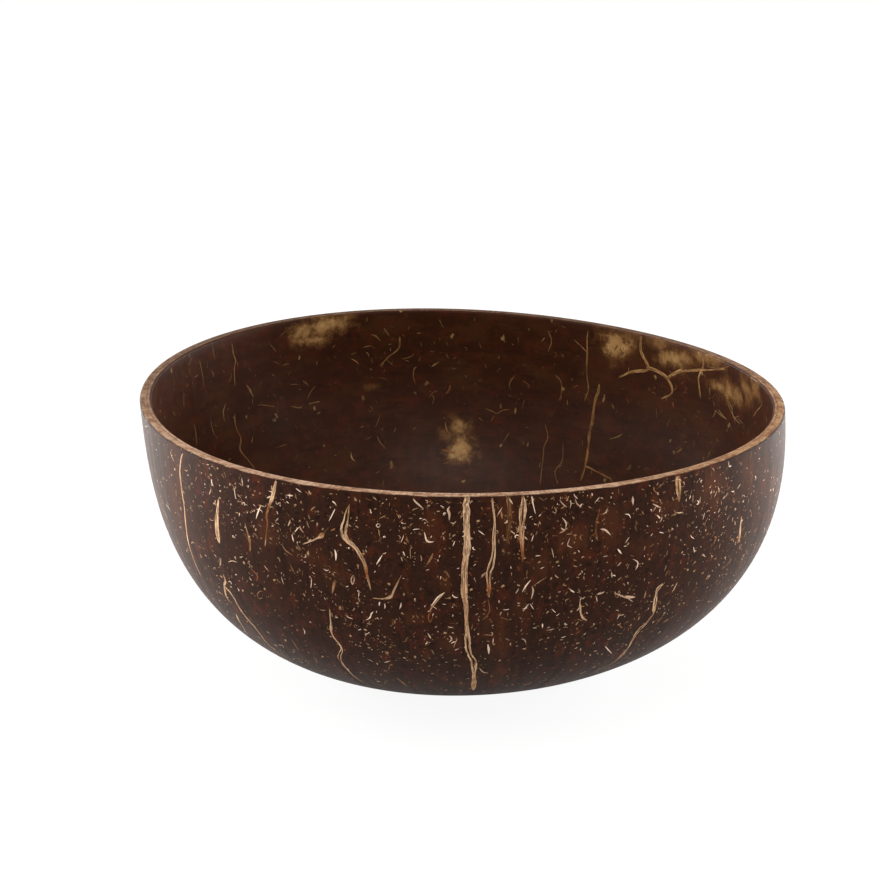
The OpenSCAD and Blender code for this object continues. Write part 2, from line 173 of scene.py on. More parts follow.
# Each strand is a list of branches, whose points are (degrees from the right, share of the height up to
# the rim's rounded edge, share of the widest strand). Then four looks follow, each one number or a list
# of (share of the run, amount): paleness, the dark slit between its bands, its amber colour, and how much
# wider its soft sides look than its solid core.
OUTER_STRANDS = {
    "front_long_strand": ([[
        (-88, 1, .95), (-88.5, .95, 1), (-88.5, .84, 1), (-89, .74, .9), (-89, .6, .85),
        (-88.5, .5, .8), (-88, .42, .65), (-87, .36, .7), (-86, .26, .65), (-85, .17, .4)]],
        [(0, .88), (.1, .92), (.5, .92), (.6, 1), (1, .85)],
        [(0, .2), (.15, 0), (.5, 0), (.57, .05), (.62, .4), (.78, .42), (.86, .1), (1, 0)],
        [(0, 0), (.2, .05), (.3, .2), (.5, .35), (.6, .12), (1, .18)],
        [(0, 1.1), (.3, 1.25), (.43, 1.25), (.49, .7), (.53, .75), (.6, 1.7), (.68, 1.4), (.78, 1.7),
         (.86, 1.1), (.93, 1.7), (1, 1.3)]),
    "front_split_strand": ([[
        (-84, 1, .3), (-84, .9, .35), (-84.5, .79, .6), (-85, .73, 1), (-85, .68, .8), (-85, .64, .3)]],
        [(0, .8), (.1, .95), (.7, 1), (1, .8)],
        [(0, 0), (.22, 0), (.35, .35), (.55, .45), (.72, .2), (.8, 0), (1, 0)],
        [(0, 0), (.55, .1), (.75, .7), (.88, 1), (.95, .3), (1, .2)],
        [(0, .8), (.15, 1), (.28, 1.7), (.4, 1.35), (.6, 1), (.75, .85), (.85, 1), (1, 1)]),
    "front_faint_strand": ([[(-81.5, 1, .3), (-81.5, .93, .35), (-82, .84, .25)]],
        [(0, .5), (.2, .35), (1, .22)], 0, [(0, .15), (.3, .6), (1, .8)], 2.4),
    "front_broad_strand": ([[
        (-79.2, 1, .9), (-79.2, .95, 1), (-79.5, .89, .8), (-79.5, .83, .6), (-79.5, .77, .3)]],
        [(0, .8), (.2, .95), (1, .95)], [(0, 0), (.06, .1), (.16, .3), (.4, .26), (.6, 0), (1, 0)],
        [(0, .05), (.4, .2), (.7, .6), (.85, 1), (1, .9)],
        [(0, .5), (.08, .7), (.2, 1.35), (.35, 1.35), (.5, 1.2), (.8, 1.05), (1, .8)]),
    "left_long_strand": ([[
        (-145, .99, .3), (-147, .92, .4), (-147.5, .76, .45), (-149.5, .6, .4), (-149, .49, .3)]],
        [(0, 1), (.8, 1), (1, .7)], 0, [(0, 0), (1, .1)],
        [(0, .8), (.25, 1), (.5, .7), (.6, .95), (1, .7)]),
    "left_spindle_strand": ([
        [(-135, .88, .4), (-136, .82, .85), (-137, .74, .9), (-137, .7, .4)],
        [(-137.5, .64, .35), (-138.5, .6, .3)]],
        .95, [(0, 0), (.4, .12), (.7, .1), (1, 0)], [(0, 0), (1, .1)],
        [(0, .5), (.2, .8), (.5, 1.2), (.85, 1.3), (1, 1.2)]),
    "left_forked_strand": ([
        [(-138.5, .57, .3), (-138.5, .54, .4), (-139.5, .515, .45), (-138, .49, .45),
         (-137, .42, .45), (-135.5, .35, .4), (-135.5, .26, .4), (-132, .21, .3)],
        [(-139.3, .525, .35), (-140.5, .46, .35), (-139.5, .44, .25)],
        [(-140.5, .39, .3), (-142, .32, .3), (-144, .26, .25)]],
        [(0, .85), (.3, 1), (.7, .95), (1, .7)], [(0, 0), (.3, .1), (.5, .25), (.7, .1), (1, 0)],
        [(0, .1), (.5, .1), (1, .3)], [(0, .8), (.2, 1.3), (.35, 1.1), (1, .8)]),
    "left_amber_strand": ([[
        (-120.9, 1, .4), (-122.3, .93, .6), (-123.7, .88, .5), (-124, .83, .3), (-125, .75, .25)]],
        [(0, .9), (.3, 1), (.42, .6), (.8, .6), (.92, .9), (1, .8)],
        [(0, 0), (.15, .15), (.3, 0), (1, 0)],
        [(0, 0), (.25, .1), (.42, .9), (.85, .95), (.93, .1), (1, 0)],
        [(0, .8), (.12, 1.5), (.25, 1.3), (.4, .9), (1, .9)]),
    "left_short_strand": ([[(-129, .82, .25), (-128.5, .76, .35), (-129, .71, .25)]],
        [(0, .7), (.4, .8), (1, .4)], [(0, 0), (.45, .3), (.7, .2), (1, 0)], [(0, .1), (.5, .3), (1, .6)],
        [(0, .6), (.35, .7), (.5, 1.6), (.7, 1.3), (.85, 2), (1, 1.2)]),
    "bent_strand": ([[
        (-107.5, .96, .4), (-108.5, .9, .9), (-109, .86, 1), (-108.5, .83, .6), (-107, .8, .55),
        (-106, .75, .6), (-105.5, .7, .5), (-105, .65, .25)]],
        [(0, .35), (.08, .6), (.14, 1), (1, 1)],
        [(0, .1), (.12, .5), (.25, .4), (.35, .05), (.5, .1), (.65, .25), (.76, 0), (1, 0)],
        [(0, .1), (.1, 0), (.6, .12), (.74, .6), (.82, 1), (.9, .5), (1, .1)],
        [(0, .8), (.1, 1.2), (.2, 1.4), (.33, 1.35), (.5, 1.5), (.65, 1.35), (.76, 1.15), (.83, .8),
        (.92, 1), (1, .7)]),
    "hooked_strand": ([[
        (-99.5, .72, .3), (-101, .66, .4), (-102, .63, .5), (-103.5, .62, .4), (-105, .62, .3)]],
        [(0, .6), (.3, .9), (1, .8)], [(0, 0), (.45, .1), (.55, .2), (.65, 0), (1, 0)], [(0, 0), (1, .1)],
        [(0, .6), (.25, .8), (.4, .7), (.52, 1.4), (.62, .8), (1, .5)]),
    "small_forked_strand": ([[(-117, .79, .3), (-113.5, .83, .5), (-111.5, .87, .3)]],
        [(0, .95), (.4, 1), (.5, .85), (.6, .85), (.66, .3), (1, .2)], 0,
        [(0, 0), (.4, 0), (.52, .4), (1, .4)],
        [(0, .6), (.42, .6), (.52, 2.2), (.6, 2), (.66, .6), (1, .8)]),
    "low_looped_strand": ([[
        (-113.5, .55, .3), (-114, .48, .45), (-114, .43, .45), (-113, .38, .45),
        (-114.5, .31, .5), (-114, .24, .45), (-112.5, .17, .3)]],
        [(0, .9), (.15, 1), (.3, 1), (.7, 1), (.8, .95), (1, .75)],
        [(0, 0), (.5, 0), (.56, .5), (.66, .5), (.72, 0), (1, 0)], [(0, 0), (.5, 0), (.65, .3), (1, .1)],
        [(0, .65), (.12, .65), (.22, 1.1), (.28, .7), (.36, .85), (.45, .7), (.52, .8), (.57, 1.5),
        (.65, 1.6),
         (.71, .75), (1, .6)]),
    "low_curved_strand": ([[(-92.5, .66, .25), (-94.5, .61, .4), (-95, .58, .25)]],
        .85, [(0, 0), (.6, .3), (1, 0)], [(0, 0), (1, .5)], .8),
    "right_hook_strand": ([[(-69, .6, .3), (-68.5, .55, .35), (-67, .51, .25)]], .95, 0, 0, .8),
    "right_long_strand": ([[
        (-53, .61, .3), (-54, .58, .4), (-53.5, .52, .4), (-53, .48, .5), (-53.5, .45, .55),
        (-54.5, .4, .5), (-54, .32, .45), (-54, .25, .35), (-57, .19, .25)]],
        [(0, .95), (.1, 1), (.3, 1), (.35, .8), (.5, .85), (.58, 1), (1, .95)],
        [(0, 0), (.08, .35), (.14, .1), (.2, .4), (.27, .1), (.4, 0), (.58, .5), (.66, .2), (.72, 0),
        (.8, .35), (1, 0)],
        [(0, .1), (.3, .15), (.45, .3), (.6, .1), (.78, .3), (1, .1)],
        [(0, 1), (.08, 2.1), (.14, 1.1), (.2, 2.2), (.29, 1.7), (.34, .65), (.5, .6), (.55, 1.3),
        (.61, 1.9),
         (.66, 1), (.74, .6), (.79, 1.8), (.84, 1.2), (.9, .7), (1, .55)]),
    "right_short_strand": ([[(-35.5, .8, .4), (-35.5, .75, .5), (-35, .7, .5), (-35, .66, .35)]],
        [(0, .9), (1, .95)], [(0, 1.8), (.15, 1.8), (.24, .1), (.9, 0), (.95, 1.6), (1, 1.8)],
        [(0, .1), (.6, .05), (.85, .7), (1, .8)],
        [(0, .5), (.2, .5), (.5, .9), (.75, 1.5), (.88, 1.2), (1, .4)]),
    "right_rim_strand": ([[(-51.5, 1, .4), (-51.5, .95, .5), (-51.5, .91, .25)]],
        .8, [(0, .15), (.4, .2), (1, 0)], [(0, .3), (.5, .2), (1, .5)], [(0, 2.6), (.5, 2.4), (1, 1.8)]),
    "side_strand": ([[(4, 1, .5), (3, .86, .7), (6, .7, .5), (4, .55, .3)]],
        .95, [(0, .1), (.5, .4), (1, 0)], [(0, 0), (.7, .2), (.9, .9), (1, .4)],
        [(0, .9), (.3, 1.3), (.5, .8), (.7, 1.2), (1, .7)]),
    "rear_right_strand": ([[(25, .92, .3), (23, .78, .6), (25, .62, .5), (22, .48, .3)]],
        .95, [(0, 0), (.4, .4), (.6, 0), (1, .1)], [(0, .1), (1, .4)],
        [(0, .7), (.35, 1.3), (.6, .8), (.8, 1.2), (1, .7)]),
    "rear_short_strand": ([[(50, .7, .25), (52, .6, .5), (51, .48, .25)]],
        .85, [(0, 0), (.5, .3), (1, 0)], [(0, .1), (1, .3)], 1.1),
    "rear_long_strand": ([[
        (72, 1, .6), (74, .85, .9), (73, .66, .8), (76, .48, .6), (75, .3, .45), (77, .18, .3)]],
        1.0, [(0, .3), (.3, .1), (.5, .05), (.6, .5), (.7, .1), (1, .2)], [(0, 0), (.6, .1), (1, .5)],
        [(0, 1), (.3, 1.1), (.5, .7), (.6, 1.2), (.75, .6), (.85, 1.1), (1, .6)]),
    "rear_rim_strand": ([[(95, 1, .5), (94, .93, .7), (95, .83, .3)]],
        .9, [(0, .5), (.6, .1), (1, 0)], [(0, .1), (.6, .1), (1, .9)], 1.3),
    "rear_low_strand": ([[(98, .5, .3), (96, .36, .5), (99, .24, .4), (97, .16, .25)]],
        .9, [(0, 0), (.5, .5), (1, 0)], [(0, .1), (1, .3)],
        [(0, .7), (.35, 1.3), (.5, .6), (.7, 1.2), (1, .6)]),
    "rear_bent_strand": ([[(110, .95, .3), (112, .84, .7), (109, .72, .6), (106, .6, .3)]],
        .95, [(0, .1), (.3, .45), (.5, .1), (.65, .25), (.8, 0), (1, 0)],
        [(0, 0), (.7, .2), (.85, .9), (1, .2)],
        [(0, .9), (.3, 1.3), (.6, 1.2), (.85, .8), (1, .8)]),
    "rear_forked_strand": ([
        [(135, .8, .3), (134, .66, .6), (131, .5, .6), (133, .35, .4), (130, .22, .3)],
        [(131.3, .52, .45), (127, .4, .4), (127, .32, .25)]],
        .95, [(0, 0), (.4, .3), (.6, 0), (1, .1)], [(0, .1), (1, .3)],
        [(0, .7), (.3, 1.2), (.5, .9), (1, .6)]),
    "rear_left_strand": ([[(160, .85, .3), (163, .7, .5), (160, .55, .5), (163, .42, .3)]],
        .95, [(0, .1), (.5, .4), (1, 0)], [(0, .1), (1, .5)],
        [(0, .7), (.3, 1.2), (.5, .7), (.75, 1.2), (1, .6)]),
}

INNER_VEINS = {
    "inner_tube_vein": ([
        [(58, .77, .6), (58, .74, .9), (58.5, .69, 1), (58.5, .62, 1), (58.5, .55, .9), (58, .48, .8),
         (57.5, .4, .5)],
        [(57.5, .455, .5), (53, .44, .45), (49, .43, .35)]],
        [(0, .95), (.12, .7), (.5, .55), (.8, .75), (1, .5)], 0, [(0, 0), (.3, .3), (.85, .5), (1, .2)],
        1.15),
    "inner_branching_vein": ([
        [(47, 1, .45), (47, .94, .5), (45.5, .9, .6), (45.5, .87, .6), (50, .845, .5), (53, .81, .35)],
        [(45.7, .88, .5), (42.5, .875, .6), (40, .86, .6), (38.5, .83, .5), (38.5, .8, .45),
        (41, .77, .35)],
        [(40.2, .855, .5), (36.5, .9, .5), (32.5, .92, .5), (27, .95, .4), (21.5, .98, .35)],
        [(30.5, 1, .35), (29, .965, .4), (30.5, .9, .4), (29.5, .82, .35)]],
        [(0, .95), (.5, .9), (.8, .85), (1, .7)], 0, [(0, .1), (1, .1)],
        [(0, 2.4), (.4, 2), (.7, 1.8), (1, 1.5)]),
    "inner_back_vein": ([
        [(60.5, .98, .4), (61, .92, .5), (61, .8, .5), (60.5, .74, .4), (61, .69, .35)],
        [(61, .89, .4), (64, .935, .35)]],
        [(0, .55), (.3, .7), (.5, .35), (.7, .6), (1, .4)], 0, .2, 1.2),
    "inner_left_vein": ([[
        (138.5, .98, .4), (138.5, .93, .4), (138, .9, .45), (138.5, .87, .4), (139, .8, .35)]],
        [(0, .5), (.3, .8), (.5, .95), (.8, .75), (1, .4)], 0, .15, 1.2),
    "inner_left_short_vein": ([[(149, .955, .35), (148.5, .89, .4), (148.5, .845, .35)]],
        [(0, .4), (.5, .6), (1, .3)], 0, .25, 1.1),
    "inner_left_low_vein": ([[
        (140.5, .7, .35), (141, .65, .4), (140.5, .6, .45), (141.5, .565, .45), (140.5, .52, .4),
        (139.5, .48, .35)]],
        [(0, .5), (.3, .6), (.6, .9), (1, .6)], 0, .4, 1.2),
    "inner_middle_vein": ([[(101.5, .9, .35), (102, .85, .4), (104.5, .81, .4), (105.5, .775, .35)]],
        [(0, .75), (.4, .6), (1, .3)], 0, .3, 1.5),
    "inner_low_vein": ([[(70, .58, .35), (69, .53, .4), (69.5, .475, .4), (68, .36, .35)]],
        [(0, .35), (.3, .5), (1, .3)], 0, .3, 1),
    "inner_low_side_vein": ([[(65, .52, .35), (64, .455, .4), (65, .415, .4), (63.5, .375, .35)]],
        [(0, .3), (.5, .45), (1, .3)], 0, .2, 1),
    "inner_upper_vein": ([[(68.5, .78, .35), (67, .745, .4), (67, .675, .35)]],
        [(0, .25), (.5, .4), (1, .25)], 0, .3, 1.2),
    "inner_star_vein": ([
        [(21, .85, .35), (18, .81, .45), (15, .795, .35)],
        [(24.5, .8, .35), (21.5, .785, .35)]],
        .6, 0, .1, .9),
    "inner_side_vein": ([[(-5, .7, .35), (-8, .6, .5), (-5, .48, .35)]], .5, 0, .25, 1.2),
    "inner_front_right_vein": ([[(-40, .98, .35), (-43, .86, .5), (-40, .7, .5), (-44, .56, .35)]],
        [(0, .5), (.4, .8), (.7, .5), (1, .4)], 0, .25, 1.3),
    "inner_front_vein": ([[(-95, .95, .4), (-93, .8, .6), (-96, .64, .6), (-94, .5, .4)]],
        [(0, .6), (.4, .8), (.7, .5), (1, .4)], 0, .25, 1.3),
    "inner_front_left_vein": ([
        [(-130, .9, .35), (-127, .76, .5), (-130, .62, .45), (-128, .5, .35)],
        [(-127.3, .78, .4), (-123, .66, .35)]],
        [(0, .5), (.5, .75), (1, .4)], 0, .25, 1.2),
}

# Marks too small to be nodes, read off the photo. Each is (width in the photo's pixels, paleness,
# amber, places): the places are the photo's pixels, across and down, that the mark passes through.
OUTER_MARKS = [
    (3.6, .85, .25, (450.5, 506.5), (448.8, 509.5), (450.5, 514), (450.2, 520.5)),
    (2.2, .85, .3, (455.5, 521), (453, 523.5), (450, 522)),
    (1.4, .9, .2, (381, 525.4), (379, 527.4), (377, 525.4), (379, 523.4), (381, 525.4)),
    (2.8, .9, .2, (425, 532), (426.5, 540), (430, 542), (434, 541.5)),
    (3, .6, .45, (432.5, 553), (429.5, 559), (426, 565)),
    (2.4, 1, .1, (425.5, 570), (428.5, 569.5)),
    (1.7, 1, 0, (443.7, 592.5), (437, 597.5), (431, 605)),
    (1.7, .9, .3, (431, 604.5), (437.5, 609)),
    (1.8, .6, .8, (431.5, 610), (428, 616), (430, 622), (432.5, 617)),
    (2.2, 1, 0, (454.4, 541), (452, 546)),
    (1.8, .85, 0, (404, 535), (400.6, 542.5)),
    (2.4, 1, 0, (383, 555), (379.5, 560), (376, 564.5)),
    (2, .75, .1, (410.6, 548.7), (410.6, 559)),
    (2.2, .95, 0, (400.6, 557), (402.5, 561)),
    (3, 1, 0, (335.5, 549.5), (337, 554.5), (336.6, 560.6)),
    (4, .65, .3, (335.5, 580), (333.6, 586), (332, 593.7)),
    (1.8, .9, 0, (312, 578.7), (311.2, 588)),
    (2.2, .95, .1, (358.6, 590.6), (358.5, 597)),
    (1.3, .85, .2, (354.5, 575), (355, 580), (352.8, 584.5), (351.3, 579), (353, 575)),
    (1.8, .95, 0, (324.5, 568.5), (327, 570.5), (330, 570)),
    (1.8, .9, 0, (303.5, 628.5), (305, 631.5), (304.5, 634)),
    (1.7, 1, 0, (335, 509), (328.7, 521)),
    (1.9, .9, 0, (401.5, 602.5), (401, 606), (400, 609)),
    (2.3, 1, .1, (366, 620), (370, 618), (371.5, 614), (373.5, 611.5)),
    (1.2, .55, .3, (346, 612.5), (350.6, 619)),
    (1.7, .7, 0, (397, 677.5), (401, 681), (408, 687)),
    (2.4, .5, .5, (384.5, 650.5), (386.5, 653.5), (391, 657.5)),
    (2.2, .45, .3, (391, 664), (389, 670)),
    (2.4, .85, .1, (412.8, 498.5), (416, 502.5), (423, 509)),
    (1.6, .7, .4, (396, 513.5), (399.5, 519)),
    (1.6, .85, .2, (422, 520.5), (424.5, 519), (427, 521.5)),
    (1.8, .85, .3, (457.5, 638.5), (454.4, 647)),
    (2, .75, 0, (308.3, 550), (309, 556)),
    (1.9, .8, .7, (440.5, 576.5), (445.6, 580.5), (447.5, 577)),
    (1.5, .8, .2, (453.5, 665), (459.5, 665.2)),
    (1.6, .8, .1, (432, 649.5), (434.5, 654.5)),
    (1.6, .9, 0, (368, 659), (373, 661.5)),
    (1.9, .9, .5, (501.5, 507), (499, 511.5), (496.5, 515.5)),
    (2.4, .9, .75, (500.3, 511), (501.5, 515), (502.5, 519)),
    (2.4, 1, 0, (532.7, 534.8), (531, 541.5)),
    (2.6, 1, .1, (535, 556), (540, 555.4)),
    (2.1, .95, 0, (478.7, 530.5), (484.4, 535)),
    (2, 1, .4, (562.5, 517.5), (566, 522.5), (565.4, 528)),
    (3, .95, .75, (567.5, 527.5), (564, 531), (560, 533)),
    (3, .5, .95, (558, 536), (553.5, 535.5)),
    (1.7, .85, .2, (558.7, 500), (563, 504.5), (567.5, 507)),
    (1.8, .85, .3, (568.7, 496), (566.8, 501)),
    (1.5, .85, .2, (575.3, 498.5), (577.3, 503.5), (581, 507)),
    (1.4, .85, 0, (570.3, 538), (568.4, 545), (572.5, 547.5)),
    (1.8, 1, 0, (595, 502), (598.7, 497.5)),
    (4.4, .85, .1, (632.5, 496.5), (632.5, 500.5), (632.5, 504.5)),
    (1.9, .95, 0, (606.3, 512), (608, 508.5)),
    (2.1, 1, 0, (625, 514), (629, 514.5), (631, 518)),
    (3.4, .36, .9, (600, 508), (598.3, 518), (595.8, 530), (597.5, 541)),
    (3, .95, .45, (600, 529), (605, 530), (610, 535)),
    (1.8, .95, .6, (604.5, 518.5), (602, 521.5)),
    (2.5, .9, .4, (652, 504), (656, 506), (659.5, 507.5)),
    (1.8, .9, .5, (656, 506), (652.5, 511.5)),
    (1.9, .95, .3, (628.7, 537), (625, 543)),
    (3, 1, 0, (616.8, 549), (618.5, 551.2), (620.8, 554)),
    (2, .85, 0, (602.5, 557), (607, 555.6)),
    (1.8, .95, 0, (617, 566), (620.6, 562.5)),
    (2.2, .85, 0, (633, 559), (637.5, 562), (637, 566), (635, 570)),
    (2.9, 1, 0, (658.8, 532), (663.5, 533)),
    (2.4, .85, .3, (552, 548), (553.8, 557.5)),
    (2, .6, 0, (667.5, 550), (666.5, 556)),
    (3, .65, 0, (667, 565), (664.5, 571)),
    (2.3, 1, .15, (531.2, 580), (526, 586), (522.5, 592)),
    (2.2, 1, 0, (519, 588.5), (516, 593.3)),
    (1.2, .65, 0, (546, 577), (533.7, 585.6)),
    (2.6, .85, .2, (532, 586), (533.3, 591), (530.6, 599)),
    (1.8, .95, 0, (530.6, 603.7), (534.6, 609.4)),
    (2.1, 1, 0, (529.3, 603.5), (523.5, 611)),
    (2.5, 1, 0, (581.7, 597), (580.3, 601)),
    (2, .85, .3, (581.2, 604.5), (581.2, 614), (583.5, 618.5), (587.5, 619.5)),
    (2, 1, 0, (596.5, 594.5), (601, 592)),
    (2.5, 1, 0, (558, 592), (561, 591.5)),
    (1.8, .9, 0, (552, 609), (555.8, 612.7)),
    (1.7, .8, .2, (564.5, 602), (566, 599.5), (569.5, 599)),
    (1.7, .9, .5, (614, 593), (621, 595.5), (628, 598.5)),
    (4.2, .95, .5, (624, 596), (629, 597.2), (634.5, 597)),
    (2, .9, .5, (628, 598), (633.5, 601.5)),
    (2.6, .85, .85, (628, 598.5), (633, 595)),
    (3.2, .8, .8, (619.5, 625), (622.5, 628)),
    (2, .8, .1, (646.3, 590.5), (644.5, 598)),
    (1.7, .7, .4, (663, 616), (659, 620), (655.6, 625)),
    (1.7, .85, .1, (479.4, 668), (483, 671.8), (487.8, 673)),
    (2.8, .95, .2, (487.8, 644), (489, 649), (489.4, 654)),
    (1.8, 1, 0, (493.4, 638), (492.6, 643.5)),
    (1.8, .85, .1, (520.6, 639), (524, 639.5), (526, 643)),
    (2.8, .75, .3, (523.7, 684), (527.5, 684.5), (533, 681.5)),
    (1.2, .5, .7, (487.6, 598), (488.7, 610), (485.5, 616.5), (482, 620)),
    (1.8, .9, 0, (605.6, 646), (608, 650), (611.5, 653.5)),
    (1.6, .8, .1, (170.2, 451), (172.3, 457), (174.8, 462)),
    (2, 1, .1, (233.3, 486.5), (235.4, 499)),
    (2.2, 1, .1, (241.8, 477.8), (243, 485.5)),
    (2.2, 1, .1, (532.4, 495), (535, 513.7)),
    (2.2, 1, 0, (261.5, 506), (258, 513), (256.5, 519)),
    # Painted highlight: a white glint of light, drawn as a bright cream mark
    (2.6, 1, 0, (166.5, 504), (170, 510)),
    (1.6, .65, .2, (283, 544), (286, 550.5), (293, 555.5)),
    (1.6, .85, .1, (229, 562), (232.5, 560.8), (237, 562.3)),
    (2.6, .8, .1, (219.7, 557.5), (221.3, 564.5)),
    (2.4, .65, .6, (251, 568.5), (254.5, 572), (257.5, 576), (257, 581)),
    (1.6, .75, .55, (263, 592), (260, 591.3), (257.6, 595), (260, 598.7), (263.3, 597.5)),
    (2.4, .5, .6, (291, 564), (293, 569), (296, 574.5)),
    (1.8, .85, .2, (282, 576.5), (284.4, 584.5)),
    (1.5, .55, .4, (291, 639), (295, 645), (299, 650.5)),
    (1.8, .9, .2, (699.8, 497), (699, 503.5)),
    (2.4, .8, .6, (720.8, 542.5), (718.8, 549)),
    (2, .85, .3, (677.2, 582.5), (675, 588), (672.5, 592.5)),
    (1.8, .9, .4, (719.8, 514.5), (717.5, 517.5)),
]

INNER_MARKS = [
    (1.5, .55, .1, (212.9, 341), (213.3, 351), (215, 360)),
    (2.6, .95, 0, (247, 384.5), (250.5, 390), (254, 397)),
    (1.6, .5, .2, (273, 361), (279.5, 364)),
    (1.6, .5, .2, (281, 366), (289, 363.5)),
    (1.6, .65, .1, (290.5, 384.5), (298.5, 384.3)),
    (1.6, .5, .3, (257, 405.5), (263.5, 405), (276, 407)),
    (1.8, .55, .2, (290, 406), (299, 408), (303, 406)),
    (2.2, .8, .1, (309, 404), (320, 401.5)),
    (1.6, .45, .3, (316, 385.5), (311, 392), (308, 399)),
    (2, .5, .2, (174, 379), (174.8, 385)),
    (1.6, .45, .2, (183.5, 392), (184, 402), (184.5, 408)),
    (2, .6, .1, (193.5, 424), (195.5, 431), (196.5, 445)),
    (1.6, .55, .2, (211, 417), (211.5, 427), (214, 434), (218, 439)),
    (1.9, .65, .1, (225.7, 404), (223.5, 412), (225, 422)),
    (1.5, .45, .6, (275, 448), (282, 446), (288, 444)),
    (1.8, .45, .3, (293.5, 323), (302.5, 327)),
    (1.8, .45, .3, (280, 337), (287, 330)),
    (2.4, .7, 0, (417, 333.5), (421, 333)),
    (1.7, .55, 0, (380, 366), (387, 359), (391, 355)),
    (1.5, .5, 0, (387, 360), (393.5, 366)),
    (1.5, .5, .3, (363, 348), (370, 346), (375.5, 349)),
    (1.8, .7, .3, (351, 358.5), (355.5, 361), (359.5, 365)),
    (1.6, .5, .1, (401, 359), (410, 357), (413.5, 353.5)),
    (1.9, .6, .1, (416.5, 367.5), (413.5, 369), (413, 377), (415, 384)),
    (2.2, .75, 0, (432, 367), (435, 364.5), (439.5, 362)),
    (2.2, .6, .2, (446, 353), (448.5, 359)),
    (3.2, .85, 0, (498.3, 359), (499.7, 356)),
    (3.2, .8, 0, (511.5, 343.5), (513, 345)),
    (2, .45, .4, (480, 343), (482, 349)),
    (1.6, .4, 0, (431, 394), (434, 398), (432, 405)),
    (1.8, .45, 0, (380, 417), (375, 428)),
    (1.6, .5, 0, (377, 436), (380, 443), (386, 449)),
    (3, .55, .2, (413, 430), (416, 427.5)),
    (3.6, .85, .1, (335, 455.5), (337, 455.5)),
    (2.2, .8, .1, (350.5, 452), (351.5, 458), (355.5, 462)),
    (2.3, .55, .3, (445, 422), (447, 430), (452, 436)),
    (2.6, .8, .7, (441, 449), (450, 452), (456, 453.5)),
    (2, .7, .1, (443, 464), (450, 461.5)),
    (1.5, .5, .3, (485, 408.5), (492, 411.5), (497, 413.5), (503, 410), (510, 410)),
    (1.6, .45, 0, (516, 375), (512, 380), (510, 385), (511, 390)),
    (1.6, .45, 0, (502, 443), (509, 432.5)),
    (2, .5, .4, (548, 330), (551, 337), (551, 344), (547, 352)),
    (2, .6, .1, (556, 376), (559, 378), (562, 382)),
    (1.6, .5, .1, (561, 391), (560.5, 396), (558, 401)),
    (3, .6, 0, (523, 442), (524, 445)),
    (2.5, .6, 0, (611, 403), (613.5, 409)),
    (1.6, .55, 0, (609, 439), (616, 437), (623, 434)),
    (3.4, .55, .6, (637.5, 467), (640.5, 466.5)),
    (1.8, .6, 0, (726, 400), (731, 406), (733, 414), (735.5, 424)),
    (1.6, .55, 0, (734, 417.5), (740, 416)),
    (1.6, .5, 0, (736, 417), (743, 424)),
    (1.9, .7, 0, (718, 409), (721, 414), (726.5, 419.5)),
    (2, .65, 0, (761, 398), (761, 405), (757, 410), (753, 417)),
    (1.6, .5, 0, (709, 367), (720, 368), (730, 364)),
    (4.5, .6, .1, (736, 388), (740, 395), (743, 402)),
    (4.5, .6, .1, (751, 372), (757, 384), (755, 394)),
    (4, .5, .2, (720, 389), (728, 394)),
]

# Soft patches: (degrees, share of the height, size along and up in millimetres, strength)
INNER_CLOUDS = [
    (116.4, .968, 5.5, 2.4, 1), (120.6, .955, 3, 2, .8), (119.9, .915, 3.4, 1.6, .8),
    (113.5, .99, 3, 1.2, .6),
    (89.6, .545, 2.2, 2, .8), (89.5, .458, 3.2, 3.4, 1), (92.4, .5, 2, 2, .55), (53.4, .948, 3, 3.8, 1),
    (51.2, .985, 3, 2, .6), (38.4, .946, 3.6, 3, .8), (35.2, .96, 3.4, 2, .7), (41.6, .985, 3, 1.6, .6),
    (30, .985, 3, 1.4, .6), (24.9, 1, 3.6, 1.6, .7), (23.5, .898, 2.6, 1.6, .7),
    (16.7, .898, 2.2, 2.4, .65),
    (20.4, .9, 1.4, 2.4, .7), (13, .94, 2, 3.4, .6), (8.9, .977, 2.4, 2.6, .6), (108, .7, 1, .8, .4),
]

OUTER_SMEARS = [
    (-81.4, .95, 1.4, 7, .7), (-84.6, .52, 1, 6, .3), (-82.6, .45, 1.6, 12, .5), (-81.2, .3, 1, 8, .3),
    (-79.3, .6, .9, 7, .4), (-148.5, .9, 1.2, 9, .45), (-152, .8, 1.6, 11, .35), (-124, .8, 1.6, 3, .4),
    (-116, .74, 2.4, 2, .4), (-111, .7, 1.6, 2.4, .35), (-92.5, .7, 1.4, 3, .5), (-71, .83, 1.6, 3, .7),
    (-64.5, .87, 1.2, 6, .5), (-54, .9, 2, 2, .4), (-44, .93, 1.5, 4, .7), (-33.5, .93, 1.2, 4, .6),
    (-28, .85, 2, 5, .35), (-91.5, .45, 1.6, 4, .6), (-98, .55, 1.4, 2, .5), (-23, .82, .9, 3.4, .7),
    (-76.5, .75, 1.2, 3, .5), (-94.5, .9, 1.4, 3, .4), (-58, .78, 3, 2, .3), (-88, .22, 2, 1.6, .5),
]


def colour_property(title, text, value):
    """A colour of the bowl that the panel shows."""
    return bpy.props.FloatVectorProperty(
        name=title, description=text, default=value, subtype="COLOR", size=3, min=0, max=1)


def number_property(title, text, value, **more):
    """A number that the panel shows."""
    return bpy.props.FloatProperty(name=title, description=text, default=value, **more)


def length_property(title, text, value):
    """A length, in metres, that the panel shows."""
    return number_property(title, text, value, min=0, unit="LENGTH", precision=4)


def angle_property(title, text, degrees):
    """An angle that the panel shows."""
    return number_property(title, text, math.radians(degrees), subtype="ANGLE")


